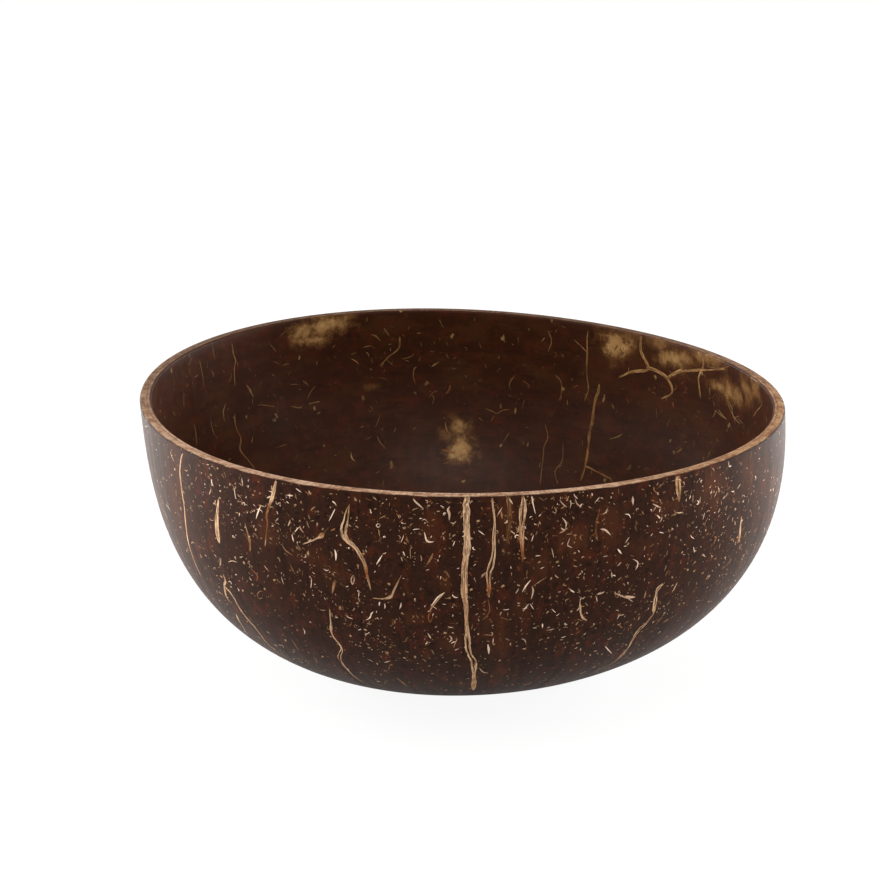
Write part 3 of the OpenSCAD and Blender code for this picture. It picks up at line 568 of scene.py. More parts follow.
class BowlSizes(bpy.types.PropertyGroup):
    """Sizes of the half nut that the bowl is made from."""
    rim_width: length_property("Rim width", "Mean width of the rim", 110 * MM)
    rim_height: length_property("Rim height", "Height of the rim above the table", RIM_TOP)
    base_width: length_property("Foot width", "Width of the flat sanded on the foot", 35 * MM)
    wall: length_property("Wall", "Thickness of the wall at the rim", 2.1 * MM)
    floor: length_property("Floor", "Thickness of the floor over the foot", 3 * MM)
    edge_radius: length_property("Rim rounding", "Rounding of both edges of the rim", .4 * MM)
    fullness: number_property("Fullness", "Fullness of the belly, 2 is an ellipse", 2.54)
    oval_out: length_property("Oval", "How far the oval stands out of round", 1.9 * MM)
    oval_turn: angle_property("Oval turn", "Direction of the oval's long side", -45)
    ridge_out: length_property("Ridges", "How far the three ridges stand out of round", .9 * MM)
    ridge_turn: angle_property("Ridge turn", "Direction of the first ridge", -6)
    belly_shift: length_property("Belly shift", "How far the belly leans to the right", 1.2 * MM)
    foot_shift: length_property("Foot shift", "How far the foot lies to the left", 1.2 * MM)
    strand_width: length_property("Strand width", "Width of the widest strand", 1.15 * MM)
    vein_width: length_property("Vein width", "Width of the widest vein", .9 * MM)
    flecks: bpy.props.IntProperty(
        name="Flecks", description="Number of flecks in the outer face", default=5400, min=0)


class BowlColours(bpy.types.PropertyGroup):
    """Colours of the shell and of the fibres in it."""
    outer_dark: colour_property("Outer shell", "Dark brown of the outer face", (.0295, .0112, .0063))
    outer_crack: colour_property("Dark lines", "Dark lines and pits outside", (.0105, .0043, .0027))
    outer_red: colour_property("Red patches", "Red brown of the outer face's patches", (.085, .0185, .007))
    outer_speckle: colour_property("Outer speckle", "Dull brown speckle outside", (.073, .033, .02))
    outer_smear: colour_property("Smears", "Amber brown of the outer face's smears", (.115, .034, .0115))
    inner_dark: colour_property("Inner shell", "Darker brown of the inner face", (.0355, .0107, .004))
    inner_warm: colour_property("Inner patches", "Warmer brown of the inner patches", (.061, .0215, .0075))
    inner_red: colour_property("Inner red", "Red brown of the small inner patches", (.073, .015, .0054))
    inner_streak: colour_property("Inner streaks", "Dark streaks round the inside", (.021, .0066, .0032))
    inner_speckle: colour_property("Inner speckle", "Dull brown speckle inside", (.084, .033, .014))
    rim_front: colour_property("Rim", "Pale front of the sanded rim", (.56, .37, .245))
    rim_right: colour_property("Rim, right", "Golden right of the sanded rim", (.43, .245, .118))
    rim_left: colour_property("Rim, left", "Brown left of the sanded rim", (.215, .125, .064))
    # Painted shade: the rim's back is given a darker brown than its front
    rim_back_shade: colour_property("Rim, back", "Brown back of the sanded rim", (.102, .055, .029))
    foot_dark: colour_property("Foot lines", "Darker grain of the sanded foot", (.037, .0155, .0082))
    foot_pale: colour_property("Foot", "Paler grain of the sanded foot", (.11, .057, .0315))
    fibre_pale: colour_property("Pale fibre", "Palest of the fibres", (.78, .48, .24))
    fibre_tan: colour_property("Tan fibre", "Tan body of the fibres", (.28, .117, .039))
    fibre_amber: colour_property("Amber fibre", "Amber of the fibres' thin ends", (.33, .094, .02))
    fibre_crack: colour_property("Fibre cracks", "Brown cracks between the fibres", (.068, .025, .0102))
    fibre_slit: colour_property("Fibre slits", "Dark slits and grooves of the fibres", (.02, .0066, .0033))
    fleck_cream: colour_property("Cream flecks", "Palest of the small flecks", (1, .76, .59))
    vein_pale: colour_property("Pale vein", "Palest of the inner veins", (.5, .3, .112))
    vein_tan: colour_property("Tan vein", "Brown body of the inner veins", (.2, .09, .03))
    cloud: colour_property("Clouds", "Palest of the inner clouds", (.46, .262, .1))
    cloud_edge: colour_property("Cloud edges", "Brown of the inner clouds' edges", (.212, .095, .028))


class StudioSettings(bpy.types.PropertyGroup):
    """The camera and the lamps."""
    distance: length_property("Camera distance", "From the camera to the bowl's middle", .48)
    elevation: angle_property("Camera elevation", "Angle of the view above the horizon", 19.437)
    aim_height: length_property("Aim height", "Height of the point that the camera turns round", 25 * MM)
    lens: number_property("Lens", "Focal length", 112.76, unit="CAMERA")
    key_power: number_property("Key lamp", "Power of the large lamp overhead", 3.8, unit="POWER")
    side_power: number_property("Side lamps", "Power of the lamps at the sides", 5.6, unit="POWER")
    floor_power: number_property("Floor lamps", "Power of the lamps over the floor", 2.4, unit="POWER")
    sky: number_property("Fill light", "Level of the light from all sides", .56)


def sizes():
    """The panel's sizes."""
    return bpy.context.scene.bowl_sizes


def colours():
    """The panel's colours."""
    return bpy.context.scene.bowl_colours


def studio():
    """The panel's camera and lamps."""
    return bpy.context.scene.bowl_studio


# Shape of the half nut

def outline(turn):
    """Share of the mean radius at a turn in degrees: one, plus an oval's cosine of twice the turn and the
    three ridges' cosine of three times the turn."""
    s = sizes()
    a = np.radians(turn)
    out = s.oval_out * np.cos(2 * (a - s.oval_turn)) + s.ridge_out * np.cos(3 * (a - s.ridge_turn))
    return 1 + out * 2 / s.rim_width


def nut_depth():
    """Depth of the whole half nut: the rim's height over the superellipse's height where the foot's flat
    cuts it."""
    s = sizes()
    return s.rim_height / (1 - (s.base_width / s.rim_width) ** s.fullness) ** (1 / s.fullness)


def swell(drop, depth):
    """Radius at a drop below the rim as a share of the rim's: a quarter of a superellipse."""
    full = sizes().fullness
    return np.maximum(0, 1 - (np.maximum(0, drop) / depth) ** full) ** (1 / full)


def axis_x(z):
    """Place of the nut's axis at a height: a parabola for the belly's lean less a slope for the foot's
    shift."""
    s = sizes()
    rise = z / s.rim_height
    return 4 * s.belly_shift * rise * (1 - rise) - s.foot_shift * (1 - rise)


def radius(inside, turn, z):
    """Radius of the inner or the outer face: the outline's radius, less the wall on the inside, times the
    swell."""
    s = sizes()
    rim = s.rim_width / 2 * outline(turn)
    if inside:
        return (rim - s.wall) * swell(s.rim_height - z, s.rim_height - s.floor)
    return (rim - FACET_DEPTH) * swell(s.rim_height - z, nut_depth())


def face(inside, turn, z, inset=0.0):
    """Points of a face, from turns in degrees and heights, moved into the wall by an inset."""
    r = radius(inside, turn, z) + (inset if inside else -inset)
    a = np.radians(turn)
    return np.stack([r * np.cos(a) + axis_x(z), r * np.sin(a), z + 0 * r], -1)


def unit(v):
    """Vectors of length one."""
    return v / np.maximum(np.linalg.norm(v, axis=-1, keepdims=True), 1e-12)


def top_of_faces():
    """Height at which the faces end and the rim's rounded edges begin."""
    s = sizes()
    return s.rim_height - s.edge_radius


def rim_inset(z):
    """How far the rim's rounded edge draws a face back at a height: a quarter circle's."""
    s = sizes()
    over = np.clip((z - s.rim_height) / s.edge_radius + 1, 0, 1)
    return s.edge_radius * (1 - np.sqrt(1 - over ** 2))


def on_face(inside, points):
    """Points moved straight in or out on to a face, and kept just under the rim's top."""
    z = np.minimum(points[..., 2], sizes().rim_height - UNDER_RIM)
    turn = np.degrees(np.arctan2(points[..., 1], points[..., 0] - axis_x(z)))
    return face(inside, turn, z, rim_inset(z))


def out_of_wall(inside, turn, z):
    """Directions out of a face: the cross product of its slopes round and up, measured over small
    steps."""
    lowest = LOWEST_SLOPE + (sizes().floor if inside else 0)
    z = np.clip(z, lowest, sizes().rim_height - HIGHEST_SLOPE)
    round_it = face(inside, turn + SLOPE_TURN, z) - face(inside, turn - SLOPE_TURN, z)
    up_it = face(inside, turn, z + SLOPE_RISE) - face(inside, turn, z - SLOPE_RISE)
    return (-1 if inside else 1) * unit(np.cross(round_it, up_it))


def out_and_across(inside, turn, z, middle):
    """Directions out of a face and across a path on it, from the path's turns, heights and points."""
    up = out_of_wall(inside, turn, z)
    return up, unit(np.cross(up, unit(np.gradient(middle, axis=-2))))


# Meshes

def mesh_from(name, points, quads, triangles, measures, across_run=None):
    """A mesh object from arrays of points, quads and triangles, with a measure at each point as an
    attribute and, where given, each point's place across and along its fibre as a UV map."""
    mesh = bpy.data.meshes.new(name)
    corners = np.concatenate([quads.ravel(), triangles.ravel()]).astype(np.int32)
    counts = np.concatenate([np.full(len(quads), 4), np.full(len(triangles), 3)]).astype(np.int32)
    starts = np.concatenate([[0], np.cumsum(counts)[:-1]]).astype(np.int32)
    mesh.vertices.add(len(points))
    mesh.vertices.foreach_set("co", points.astype(np.float32).ravel())
    mesh.loops.add(len(corners))
    mesh.loops.foreach_set("vertex_index", corners)
    mesh.polygons.add(len(counts))
    mesh.polygons.foreach_set("loop_start", starts)
    mesh.polygons.foreach_set("use_smooth", np.ones(len(counts), bool))
    mesh.update(calc_edges=True)
    mesh.validate()
    for key, values in measures.items():
        measure = mesh.attributes.new(key, "FLOAT", "POINT")
        measure.data.foreach_set("value", values.astype(np.float32).ravel())
    if across_run is not None:
        layer = mesh.uv_layers.new(name="fibre_map")
        layer.data.foreach_set("uv", across_run[corners].astype(np.float32).ravel())
    thing = bpy.data.objects.new(name, mesh)
    bpy.context.scene.collection.objects.link(thing)
    return thing


def ring_quads(rows, columns):
    """Quads of a grid whose columns close into rings: each joins two rows and two neighbouring
    columns."""
    k, i = np.meshgrid(np.arange(rows - 1) * columns, np.arange(columns), indexing="ij")
    j = (i + 1) % columns
    return np.stack([k + i, k + j, k + columns + j, k + columns + i], -1).reshape(-1, 4)


def finish_piece(thing, finish, nodes=()):
    """Gives a piece its material and its body, and hides the CAD nodes that it stands for."""
    thing.data.materials.append(finish)
    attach(thing, "root")
    if nodes:
        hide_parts(*nodes)


def shell_rows():
    """Rows of the wall's profile as arrays: whether a row is inside, its height, its inset and its share
    of the way over the rim. Heights step evenly in the superellipse's own angle, and the edges are
    quarter rounds."""
    s = sizes()
    hollow = s.rim_height - s.floor

    def heights(deep, lowest, count):
        first = math.asin(((s.rim_height - lowest) / deep) ** (s.fullness / 2))
        last = math.asin((s.edge_radius / deep) ** (s.fullness / 2))
        return s.rim_height - deep * np.sin(np.linspace(first, last, count)) ** (2 / s.fullness)

    turn = np.radians(np.linspace(0, 90, EDGE_ROWS)[1:])
    outer = heights(nut_depth(), 0, OUTER_ROWS)
    inner = heights(hollow, s.floor + hollow * HOLLOW_START, INNER_ROWS)[::-1]
    edge_z = s.rim_height - s.edge_radius * (1 - np.sin(turn))
    edge_in = s.edge_radius * (1 - np.cos(turn))
    reach = edge_in / s.wall
    return (
        np.repeat([False, True], [len(outer) + len(turn), len(turn) + len(inner)]),
        np.concatenate([outer, edge_z, edge_z[::-1], inner]),
        np.concatenate([outer * 0, edge_in, edge_in[::-1], inner * 0]),
        np.concatenate([outer * 0, reach, 1 - reach[::-1], inner * 0 + 1]),
    )


def between(first, last, count):
    """Rings that lead from one ring to another in equal steps, without those two, and the steps."""
    step = np.linspace(0, 1, count)[1:-1]
    return first * (1 - step[:, None, None]) + last * step[:, None, None], step


def shell_mesh(finish):
    """The wall as one closed skin: a flat foot in rings, the outer face, the rim, the inner face and the
    hollow's lowest point. Each ring is the nut's outline at its height, and straight rings cross the foot
    and the rim."""
    turn = np.arange(AROUND) * 360 / AROUND
    inside, z, inset, across = shell_rows()
    rings = np.stack([face(bool(i), turn, np.full(AROUND, h), d) for i, h, d in zip(inside, z, inset)])
    split = int(np.argmax(inside))
    foot_middle = rings[0].mean(0)
    hollow_middle = rings[-1].mean(0) - (0, 0, HOLLOW_DIMPLE)
    foot, _ = between(foot_middle, rings[0], FOOT_ROWS)
    top, over = between(rings[split - 1], rings[split], RIM_ROWS)
    top_across = across[split - 1] * (1 - over) + across[split] * over
    grid = np.concatenate([foot, rings[:split], top, rings[split:]])
    no_foot = np.zeros(len(foot))
    inner = [no_foot, np.zeros(split), top_across > .5, np.ones(len(rings) - split)]
    cut = [no_foot, across[:split] > 0, np.ones(len(top)), across[split:] < 1]
    way = [no_foot, across[:split], top_across, across[split:]]
    flat = [np.ones(len(foot)), [FOOT_EDGE], np.zeros(len(grid) - len(foot) - 1)]
    laid = {"inner": (inner, (0, 1)), "cut": (cut, (0, 0)), "across": (way, (0, 1)), "foot": (flat, (1, 0))}
    measures = {
        key: np.append(np.repeat(np.concatenate(rows), AROUND), middles)
        for key, (rows, middles) in laid.items()}
    i = np.arange(AROUND)
    j = (i + 1) % AROUND
    last, centre = (len(grid) - 1) * AROUND, i * 0 + len(grid) * AROUND
    caps = np.concatenate([np.stack([centre, j, i], -1), np.stack([last + i, last + j, centre + 1], -1)])
    points = np.concatenate([grid.reshape(-1, 3), [foot_middle, hollow_middle]])
    wall = mesh_from("shell_polished_wall", points, ring_quads(len(grid), AROUND), caps, measures)
    finish_piece(wall, finish, ["shell"])


def along(branch, count):
    """Points on the smooth curve through a branch's points, where each span is the cubic that keeps the
    slopes of its neighbours' chords."""
    b = np.array(branch, float)
    last = len(b) - 1
    stretch = np.linspace(0, last, count)
    i = np.minimum(stretch.astype(int), last - 1)
    f = (stretch - i)[:, None]
    p, q, r, t = b[np.maximum(i - 1, 0)], b[i], b[i + 1], b[np.minimum(i + 2, last)]
    bend, twist = 2 * p - 5 * q + 4 * r - t, 3 * q - p - 3 * r + t
    return q + ((r - p) * f + bend * f ** 2 + twist * f ** 3) / 2


def wander(rng, run, wave, reach):
    """A smooth random line along a run: five sines of random phase whose waves shorten from the given
    length."""
    k = np.arange(1, 6)
    phase = rng.uniform(0, 2 * np.pi, 5)
    return reach * (np.sin(2 * np.pi * run[:, None] / wave * k * .8 + phase) / k).sum(1)


def camera_place():
    """The camera's place: its distance from the aim, risen by its elevation."""
    view = studio()
    back, up = view.distance * math.cos(view.elevation), view.distance * math.sin(view.elevation)
    return np.array([0, -back, up + view.aim_height])


def seen_at(inside, places):
    """Where places of the photo, in its pixels, lie on a face, as degrees and shares of the height. Each
    place's ray is followed from the camera in small steps. The outer face is where the ray first comes
    closer to the wall's axis than the face is, and the inner face is where it last is that close."""
    view, top = studio(), top_of_faces()
    ahead = np.array([0, math.cos(view.elevation), -math.sin(view.elevation)])
    up = np.array([0, math.sin(view.elevation), math.cos(view.elevation)])
    x, y = (np.array(places, float) / PHOTO_PIXELS - .5).T * CAMERA_SENSOR / view.lens
    shift_x, shift_y = (shift * CAMERA_SENSOR / view.lens for shift in CAMERA_SHIFT)
    rays = ahead + np.outer(x + shift_x, (1, 0, 0)) - np.outer(y - shift_y, up)
    steps = view.distance + np.linspace(*RAY_SEARCH, RAY_STEPS)
    p = camera_place() + rays[:, None] * steps[:, None]
    z = np.clip(p[..., 2], 0, top)
    east, north = p[..., 0] - axis_x(z), p[..., 1]
    turn = np.degrees(np.arctan2(north, east))
    within = np.hypot(east, north) < radius(inside, turn, z)
    at = len(steps) - 1 - np.argmax(within[:, ::-1], 1) if inside else np.argmax(within, 1)
    row = np.arange(len(at))
    return turn[row, at], z[row, at] / top


def mark_part(rng, inside, mark):
    """One small mark as a fibre bundle that is widest in its middle, and its pixels as places on the
    face."""
    pixels, pale, amber, *places = mark
    turn, share = seen_at(inside, places)
    widest = pixels * PIXEL * (INNER_MARK_WIDTH if inside else OUTER_MARK_WIDTH)
    middle = 1 - np.abs(np.linspace(-1, 1, len(places)))
    branch = [*zip(turn, share, MARK_END + (1 - MARK_END) * middle)]
    return fibre_part(rng, inside, branch, (pale, 0, amber, 1), widest)


def amount(knots, share):
    """A look's amount at shares of the run: one number, or straight lines between its knots."""
    if isinstance(knots, list):
        return np.interp(share, *zip(*knots))
    return np.full(len(share), float(knots))


def fibre_part(rng, inside, branch, looks, widest):
    """One branch as a closed bundle: at each station a row of points crosses its crowned top, whose edges
    lie just under the wall's face, and one keel point lies deeper. The width is the branch's, with a
    small wander and the look of its soft sides. A branch that starts at the rim runs up over the rim's
    rounded edge."""
    top_z = top_of_faces()
    rough = along(branch, 12)
    length = np.linalg.norm(np.diff(face(inside, rough[:, 0], rough[:, 1] * top_z), axis=0), axis=1).sum()
    count = int(np.clip(length / STATION_GAP, *STATIONS))
    p = along(branch, count)
    run = np.linspace(0, length, count)
    share = run / length
    at_rim = branch[0][1] >= 1
    z = np.minimum(p[:, 1], 1) * top_z
    if at_rim:
        z = z + sizes().edge_radius * RIM_CLIMB * np.clip(1 - run / OVER_RIM, 0, 1)
    aside = wander(rng, run, *COURSE_WANDER)
    turn = p[:, 0] + np.degrees(aside / np.maximum(radius(inside, p[:, 0], z), MM))
    middle = face(inside, turn, z, rim_inset(z))
    up, side = out_and_across(inside, turn, z, middle)
    pale, slit, amber, broad = (amount(look, share) for look in looks)
    from_end = np.minimum(np.where(at_rim, 1, share), 1 - share)
    taper = np.clip(from_end * length / TAPER, .12, 1) ** .6
    width = np.maximum(widest * p[:, 2] * broad, THINNEST) * (1 + wander(rng, run, *WIDTH_WANDER)) * taper
    u = np.linspace(0, 1, ACROSS_BUNDLE)
    lift = CROWN * (1 - (2 * u - 1) ** 2) - SUNK
    offset = side[:, None] * (u[None, :, None] - .5) * width[:, None, None]
    top = on_face(inside, middle[:, None] + offset) + up[:, None] * lift[None, :, None]
    rows = np.concatenate([top, (middle - up * KEEL)[:, None]], 1)
    columns = ACROSS_BUNDLE + 1
    i = np.arange(1, columns - 1)
    first = np.stack([i * 0, i, i + 1], -1)
    last = (count - 1) * columns + first[:, ::-1]
    grid = (count, columns)
    uv = np.stack([np.broadcast_to(np.append(u, .5), grid), np.broadcast_to(run[:, None] / MM, grid)], -1)
    measures = {
        key: np.broadcast_to(values[:, None], grid).ravel()
        for key, values in (("pale", pale), ("slit", slit), ("amber", amber))}
    quads, caps = ring_quads(count, columns)[:, ::-1], np.concatenate([first, last])
    return rows.reshape(-1, 3), quads, caps, measures, uv.reshape(-1, 2)


def joined(name, parts):
    """Several parts' arrays put together into one mesh object."""
    shift = np.cumsum([0] + [len(p[0]) for p in parts])[:-1]
    return mesh_from(
        name,
        np.concatenate([p[0] for p in parts]),
        np.concatenate([p[1] + n for p, n in zip(parts, shift)]),
        np.concatenate([p[2] + n for p, n in zip(parts, shift)]),
        {key: np.concatenate([p[3][key] for p in parts]) for key in parts[0][3]},
        np.concatenate([p[4] for p in parts]))


def bundles(table, inside, seed, widest, finish):
    """One piece for each strand or vein of a table, with random draws of its own."""
    for number, (node, (branches, *looks)) in enumerate(table.items()):
        rng = np.random.default_rng(seed + number)
        parts = [fibre_part(rng, inside, branch, looks, widest) for branch in branches]
        finish_piece(joined(node + "_fibres", parts), finish, [node])


def fleck_places(rng, count, low, high):
    """Turns and shares of the height of flecks spread evenly over a face, but some gather round random
    middles, and most of those that fall on the bare side are moved to the opposite side."""
    share = np.sqrt(rng.uniform(low ** 2, high ** 2, count))
    turn = rng.uniform(-180, 180, count)
    hub_turn = rng.uniform(-180, 180, FLECK_MIDDLES)
    hub_share = np.sqrt(rng.uniform(low ** 2, high ** 2, FLECK_MIDDLES))
    hub = rng.integers(0, FLECK_MIDDLES, count)
    near = rng.uniform(size=count) < GATHERED
    turn = np.where(near, hub_turn[hub] + rng.normal(0, FLECK_SCATTER[0], count), turn)
    share = np.where(near, hub_share[hub] + rng.normal(0, FLECK_SCATTER[1], count), share)
    moved = (np.abs(turn - BARE_TURN) < BARE_REACH) & (rng.uniform(size=count) < MOVED)
    return np.where(moved, turn + 180, turn), np.clip(share, low, high)


def fleck_mesh(name, inside, count, seed, finish, *, reach, length, width, paleness):
    """Many small flecks as one mesh. Each is a stroke of a few stations laid out as whole arrays: its
    heading turns by the fleck's own bend as it runs, its steps are summed into a path on the face, and
    each station has two edges just under the face, a crown just over it and a keel. Some are straight,
    some bent and a few hooked."""
    rng = np.random.default_rng(seed)
    low, high = reach
    turn, share = fleck_places(rng, count, low, high)
    z = share * top_of_faces()
    slope = unit(face(inside, turn, z + .05 * MM) - face(inside, turn, z - .05 * MM))[:, 2]
    r = np.maximum(radius(inside, turn, z), 5 * MM)
    kind = rng.uniform(size=count)
    size = np.clip(rng.lognormal(*FLECK_SIZE, count), *FLECK_LIMITS)
    straight, bent = (rng.normal(0, spread, count) for spread in (STRAIGHT_BEND, BENT_BEND))
    hooked = rng.choice([-1, 1], count) * HOOKED_BEND
    bend = np.where(kind < STRAIGHT, straight, np.where(kind < STRAIGHT + BENT, bent, hooked))[:, None]
    heading = rng.normal(0, .8, count) + np.where(rng.uniform(size=count) < .2, 1.3, 0)
    t = np.linspace(-.5, .5, FLECK_STATIONS)[None]
    angle = heading[:, None] + bend * (t + .5 * np.sign(bend) * t ** 2)
    step = (length * size)[:, None] / (FLECK_STATIONS - 1)
    x, y = np.cumsum(np.sin(angle) * step, 1), np.cumsum(np.cos(angle) * step, 1)
    x, y = x - x.mean(1, keepdims=True), y - y.mean(1, keepdims=True)
    turns = turn[:, None] + np.degrees(x / r[:, None])
    heights = np.clip(z[:, None] + y * slope[:, None], low * sizes().rim_height * .9, top_of_faces())
    middle = face(inside, turns, heights)
    up, side = out_and_across(inside, turns, heights, middle)
    fat = width * rng.uniform(.6, 1.35, count) * np.clip(size, .6, 1.7) ** .6
    lean = rng.uniform(-.5, .8, count)[:, None]
    half = fat[:, None] / 2 * np.maximum((1 - np.abs(2 * t) ** 2.4), .12) ** .6 * (1 + lean * 2 * t)
    edge, sunk = side * half[..., None], middle - up * FLECK_SUNK
    rows = np.stack([sunk - edge, middle + up * FLECK_CROWN, sunk + edge, middle - up * FLECK_KEEL], 2)
    start = np.arange(count)[:, None] * FLECK_STATIONS * 4
    quads = (start[:, None] + ring_quads(FLECK_STATIONS, 4)[None, :, ::-1]).reshape(-1, 4)
    caps = np.concatenate([start + [0, 1, 2, 3], start + (FLECK_STATIONS - 1) * 4 + [3, 2, 1, 0]])
    uv = np.empty((count, FLECK_STATIONS, 4, 2))
    uv[..., 0] = np.array([0, .5, 1, .5])
    uv[..., 1] = np.linspace(0, 1, FLECK_STATIONS)[None, :, None]

    def chosen(chance, some, others):
        first = rng.uniform(size=count) < chance
        return np.where(first, rng.uniform(*some, count), rng.uniform(*others, count))

    pale, amber = paleness * chosen(.46, (.75, 1), (.15, .65)), chosen(.2, (.45, .95), (0, .25))
    measures = {
        key: np.repeat(values, FLECK_STATIONS * 4)
        for key, values in (("pale", pale), ("amber", amber), ("slit", pale * 0))}
    faces, no_triangles = np.concatenate([quads, caps]), np.zeros((0, 3), int)
    flecks = mesh_from(name, rows.reshape(-1, 3), faces, no_triangles, measures, uv.reshape(-1, 2))
    finish_piece(flecks, finish)


# Materials

def put(kind, sockets, tree=None, **settings):
    """Adds a shader node, with its settings by name and its input sockets by name or number. It goes into
    the given tree, or else into that of the first output among its inputs."""
    linked = [value for value in sockets.values() if isinstance(value, bpy.types.NodeSocket)]
    tree = tree or linked[0].id_data
    n = tree.nodes.new(kind)
    for key, value in settings.items():
        setattr(n, key, value)
    for key, value in sockets.items():
        if isinstance(value, bpy.types.NodeSocket):
            tree.links.new(value, n.inputs[key])
        else:
            n.inputs[key].default_value = value
    return n


def maths(operation, a, b=0.0, clamp=False):
    """The outcome of an operation on two values."""
    return put("ShaderNodeMath", {0: a, 1: b}, operation=operation, use_clamp=clamp).outputs[0]


def times(a, b, clamp=False):
    """One value times another."""
    return maths("MULTIPLY", a, b, clamp)


def plus(a, b):
    """One value and another."""
    return maths("ADD", a, b)


def minus(a, b, clamp=False):
    """One value less another."""
    return maths("SUBTRACT", a, b, clamp)


def larger(a, b):
    """The larger of two values."""
    return maths("MAXIMUM", a, b)


def size_of(a):
    """A value without its sign."""
    return maths("ABSOLUTE", a)


def swing(noise, reach):
    """A noise that varies round a half, moved to vary round nought, times a reach."""
    return times(minus(noise, .5), reach)


def mixed(share, a, b):
    """One value going over into another by a share."""
    return put("ShaderNodeMix", {0: share, 2: a, 3: b}).outputs[0]


def blend(share, a, b, kind="MIX"):
    """One colour going over into another by a share."""
    return put("ShaderNodeMix", {0: share, 6: a, 7: b}, data_type="RGBA", blend_type=kind).outputs[2]


def layered(colour, *layers):
    """A colour under several layers, each a share and a colour."""
    for share, top in layers:
        top = top if isinstance(top, bpy.types.NodeSocket) else opaque(top)
        colour = blend(share, colour, top)
    return colour


def tinted(colour, *tints):
    """A colour multiplied by several tints, each with its share."""
    for share, tint in tints:
        colour = blend(share, colour, tint, "MULTIPLY")
    return colour


def opaque(colour):
    """A panel colour with its fourth value."""
    return (*colour, 1.0)


def ease(value, low, high, to_low=0.0, to_high=1.0):
    """A value that goes smoothly from one level to another between two limits."""
    limits = {0: value, 1: low, 2: high, 3: to_low, 4: to_high}
    return put("ShaderNodeMapRange", limits, interpolation_type="SMOOTHSTEP").outputs[0]


def fall(value, low, high):
    """A value that goes smoothly from one to nought between two limits."""
    return ease(value, low, high, 1.0, 0.0)


def grain(place, scale, detail=2.0, roughness=.5):
    """Soft noise between nought and one, at so many waves to the metre."""
    sockets = {"Vector": place, "Scale": scale, "Detail": detail, "Roughness": roughness}
    return put("ShaderNodeTexNoise", sockets).outputs[0]


def vector(operation, a, b=ORIGIN):
    """The outcome of an operation on two places."""
    return put("ShaderNodeVectorMath", {0: a, 1: b}, operation=operation).outputs[0]


def stretched(place, x, y, z):
    """A place with its three directions scaled."""
    return vector("MULTIPLY", place, (x, y, z))


def separated(place):
    """The three values of a place or a colour."""
    return put("ShaderNodeSeparateXYZ", {0: place}).outputs


def combined(x=0.0, y=0.0, z=0.0):
    """A place from its three values."""
    return put("ShaderNodeCombineXYZ", {0: x, 1: y, 2: z}).outputs[0]


def measured(tree, *names):
    """The mesh's measures of the given names."""
    return (put("ShaderNodeAttribute", {}, tree, attribute_name=name).outputs["Fac"] for name in names)


def used(name, sockets):
    """The outputs of a shared node group."""
    return put("ShaderNodeGroup", sockets, node_tree=bpy.data.node_groups[name]).outputs


def up_nut(place, height_share):
    """A place whose grain runs up the nut, the longer the smaller the height's share is."""
    return used("Nut directions", {0: place, 1: height_share})[0]


def group(name, inputs, **outputs):
    """A shader node group with its two end nodes. Each input has a first value, which tells a number, a
    place and a colour apart by its length, and each output has its kind."""
    tree = bpy.data.node_groups.new(name, "ShaderNodeTree")
    for title, value in inputs.items():
        kind = {0: "Float", 3: "Vector", 4: "Color"}[len(value) if isinstance(value, tuple) else 0]
        socket = tree.interface.new_socket(name=title, in_out="INPUT", socket_type="NodeSocket" + kind)
        socket.default_value = value
    for title, kind in outputs.items():
        tree.interface.new_socket(name=title, in_out="OUTPUT", socket_type="NodeSocket" + kind)
    return tree, tree.nodes.new("NodeGroupInput").outputs, tree.nodes.new("NodeGroupOutput").inputs


def directions_group():
    """Turns a place into one whose grain runs up the nut: its direction from the axis, by the rim's
    radius, and a shortened height."""
    tree, given, out = group("Nut directions", {"Place": ORIGIN, "Height share": .1}, Place="Vector")
    x, y, z = separated(given["Place"])
    turned = vector("NORMALIZE", combined(x, y))
    wide = stretched(turned, GRAIN_RADIUS, GRAIN_RADIUS, GRAIN_RADIUS)
    up = combined(z=times(z, given["Height share"]))
    tree.links.new(vector("ADD", wide, up), out["Place"])


def spots(place, scale, size, chosen, level):
    """Mask of small irregular spots, one to each random cell of the chosen share of cells. The level is
    the same for all of them, or it follows the cell's own random number as an ease's limits and
    levels."""
    off = put("ShaderNodeTexNoise", {"Vector": place, "Scale": scale * 1.3, "Detail": 2.0}).outputs["Color"]
    moved = vector("ADD", place, stretched(off, .9 / scale, .9 / scale, .9 / scale))
    cells = put("ShaderNodeTexVoronoi", {"Vector": moved, "Scale": scale}).outputs
    chance, own, _ = separated(cells["Color"])
    near = fall(cells["Distance"], size * .6, size)
    shown = times(near, maths("LESS_THAN", chance, chosen))
    return times(shown, ease(own, *level) if isinstance(level, tuple) else level)


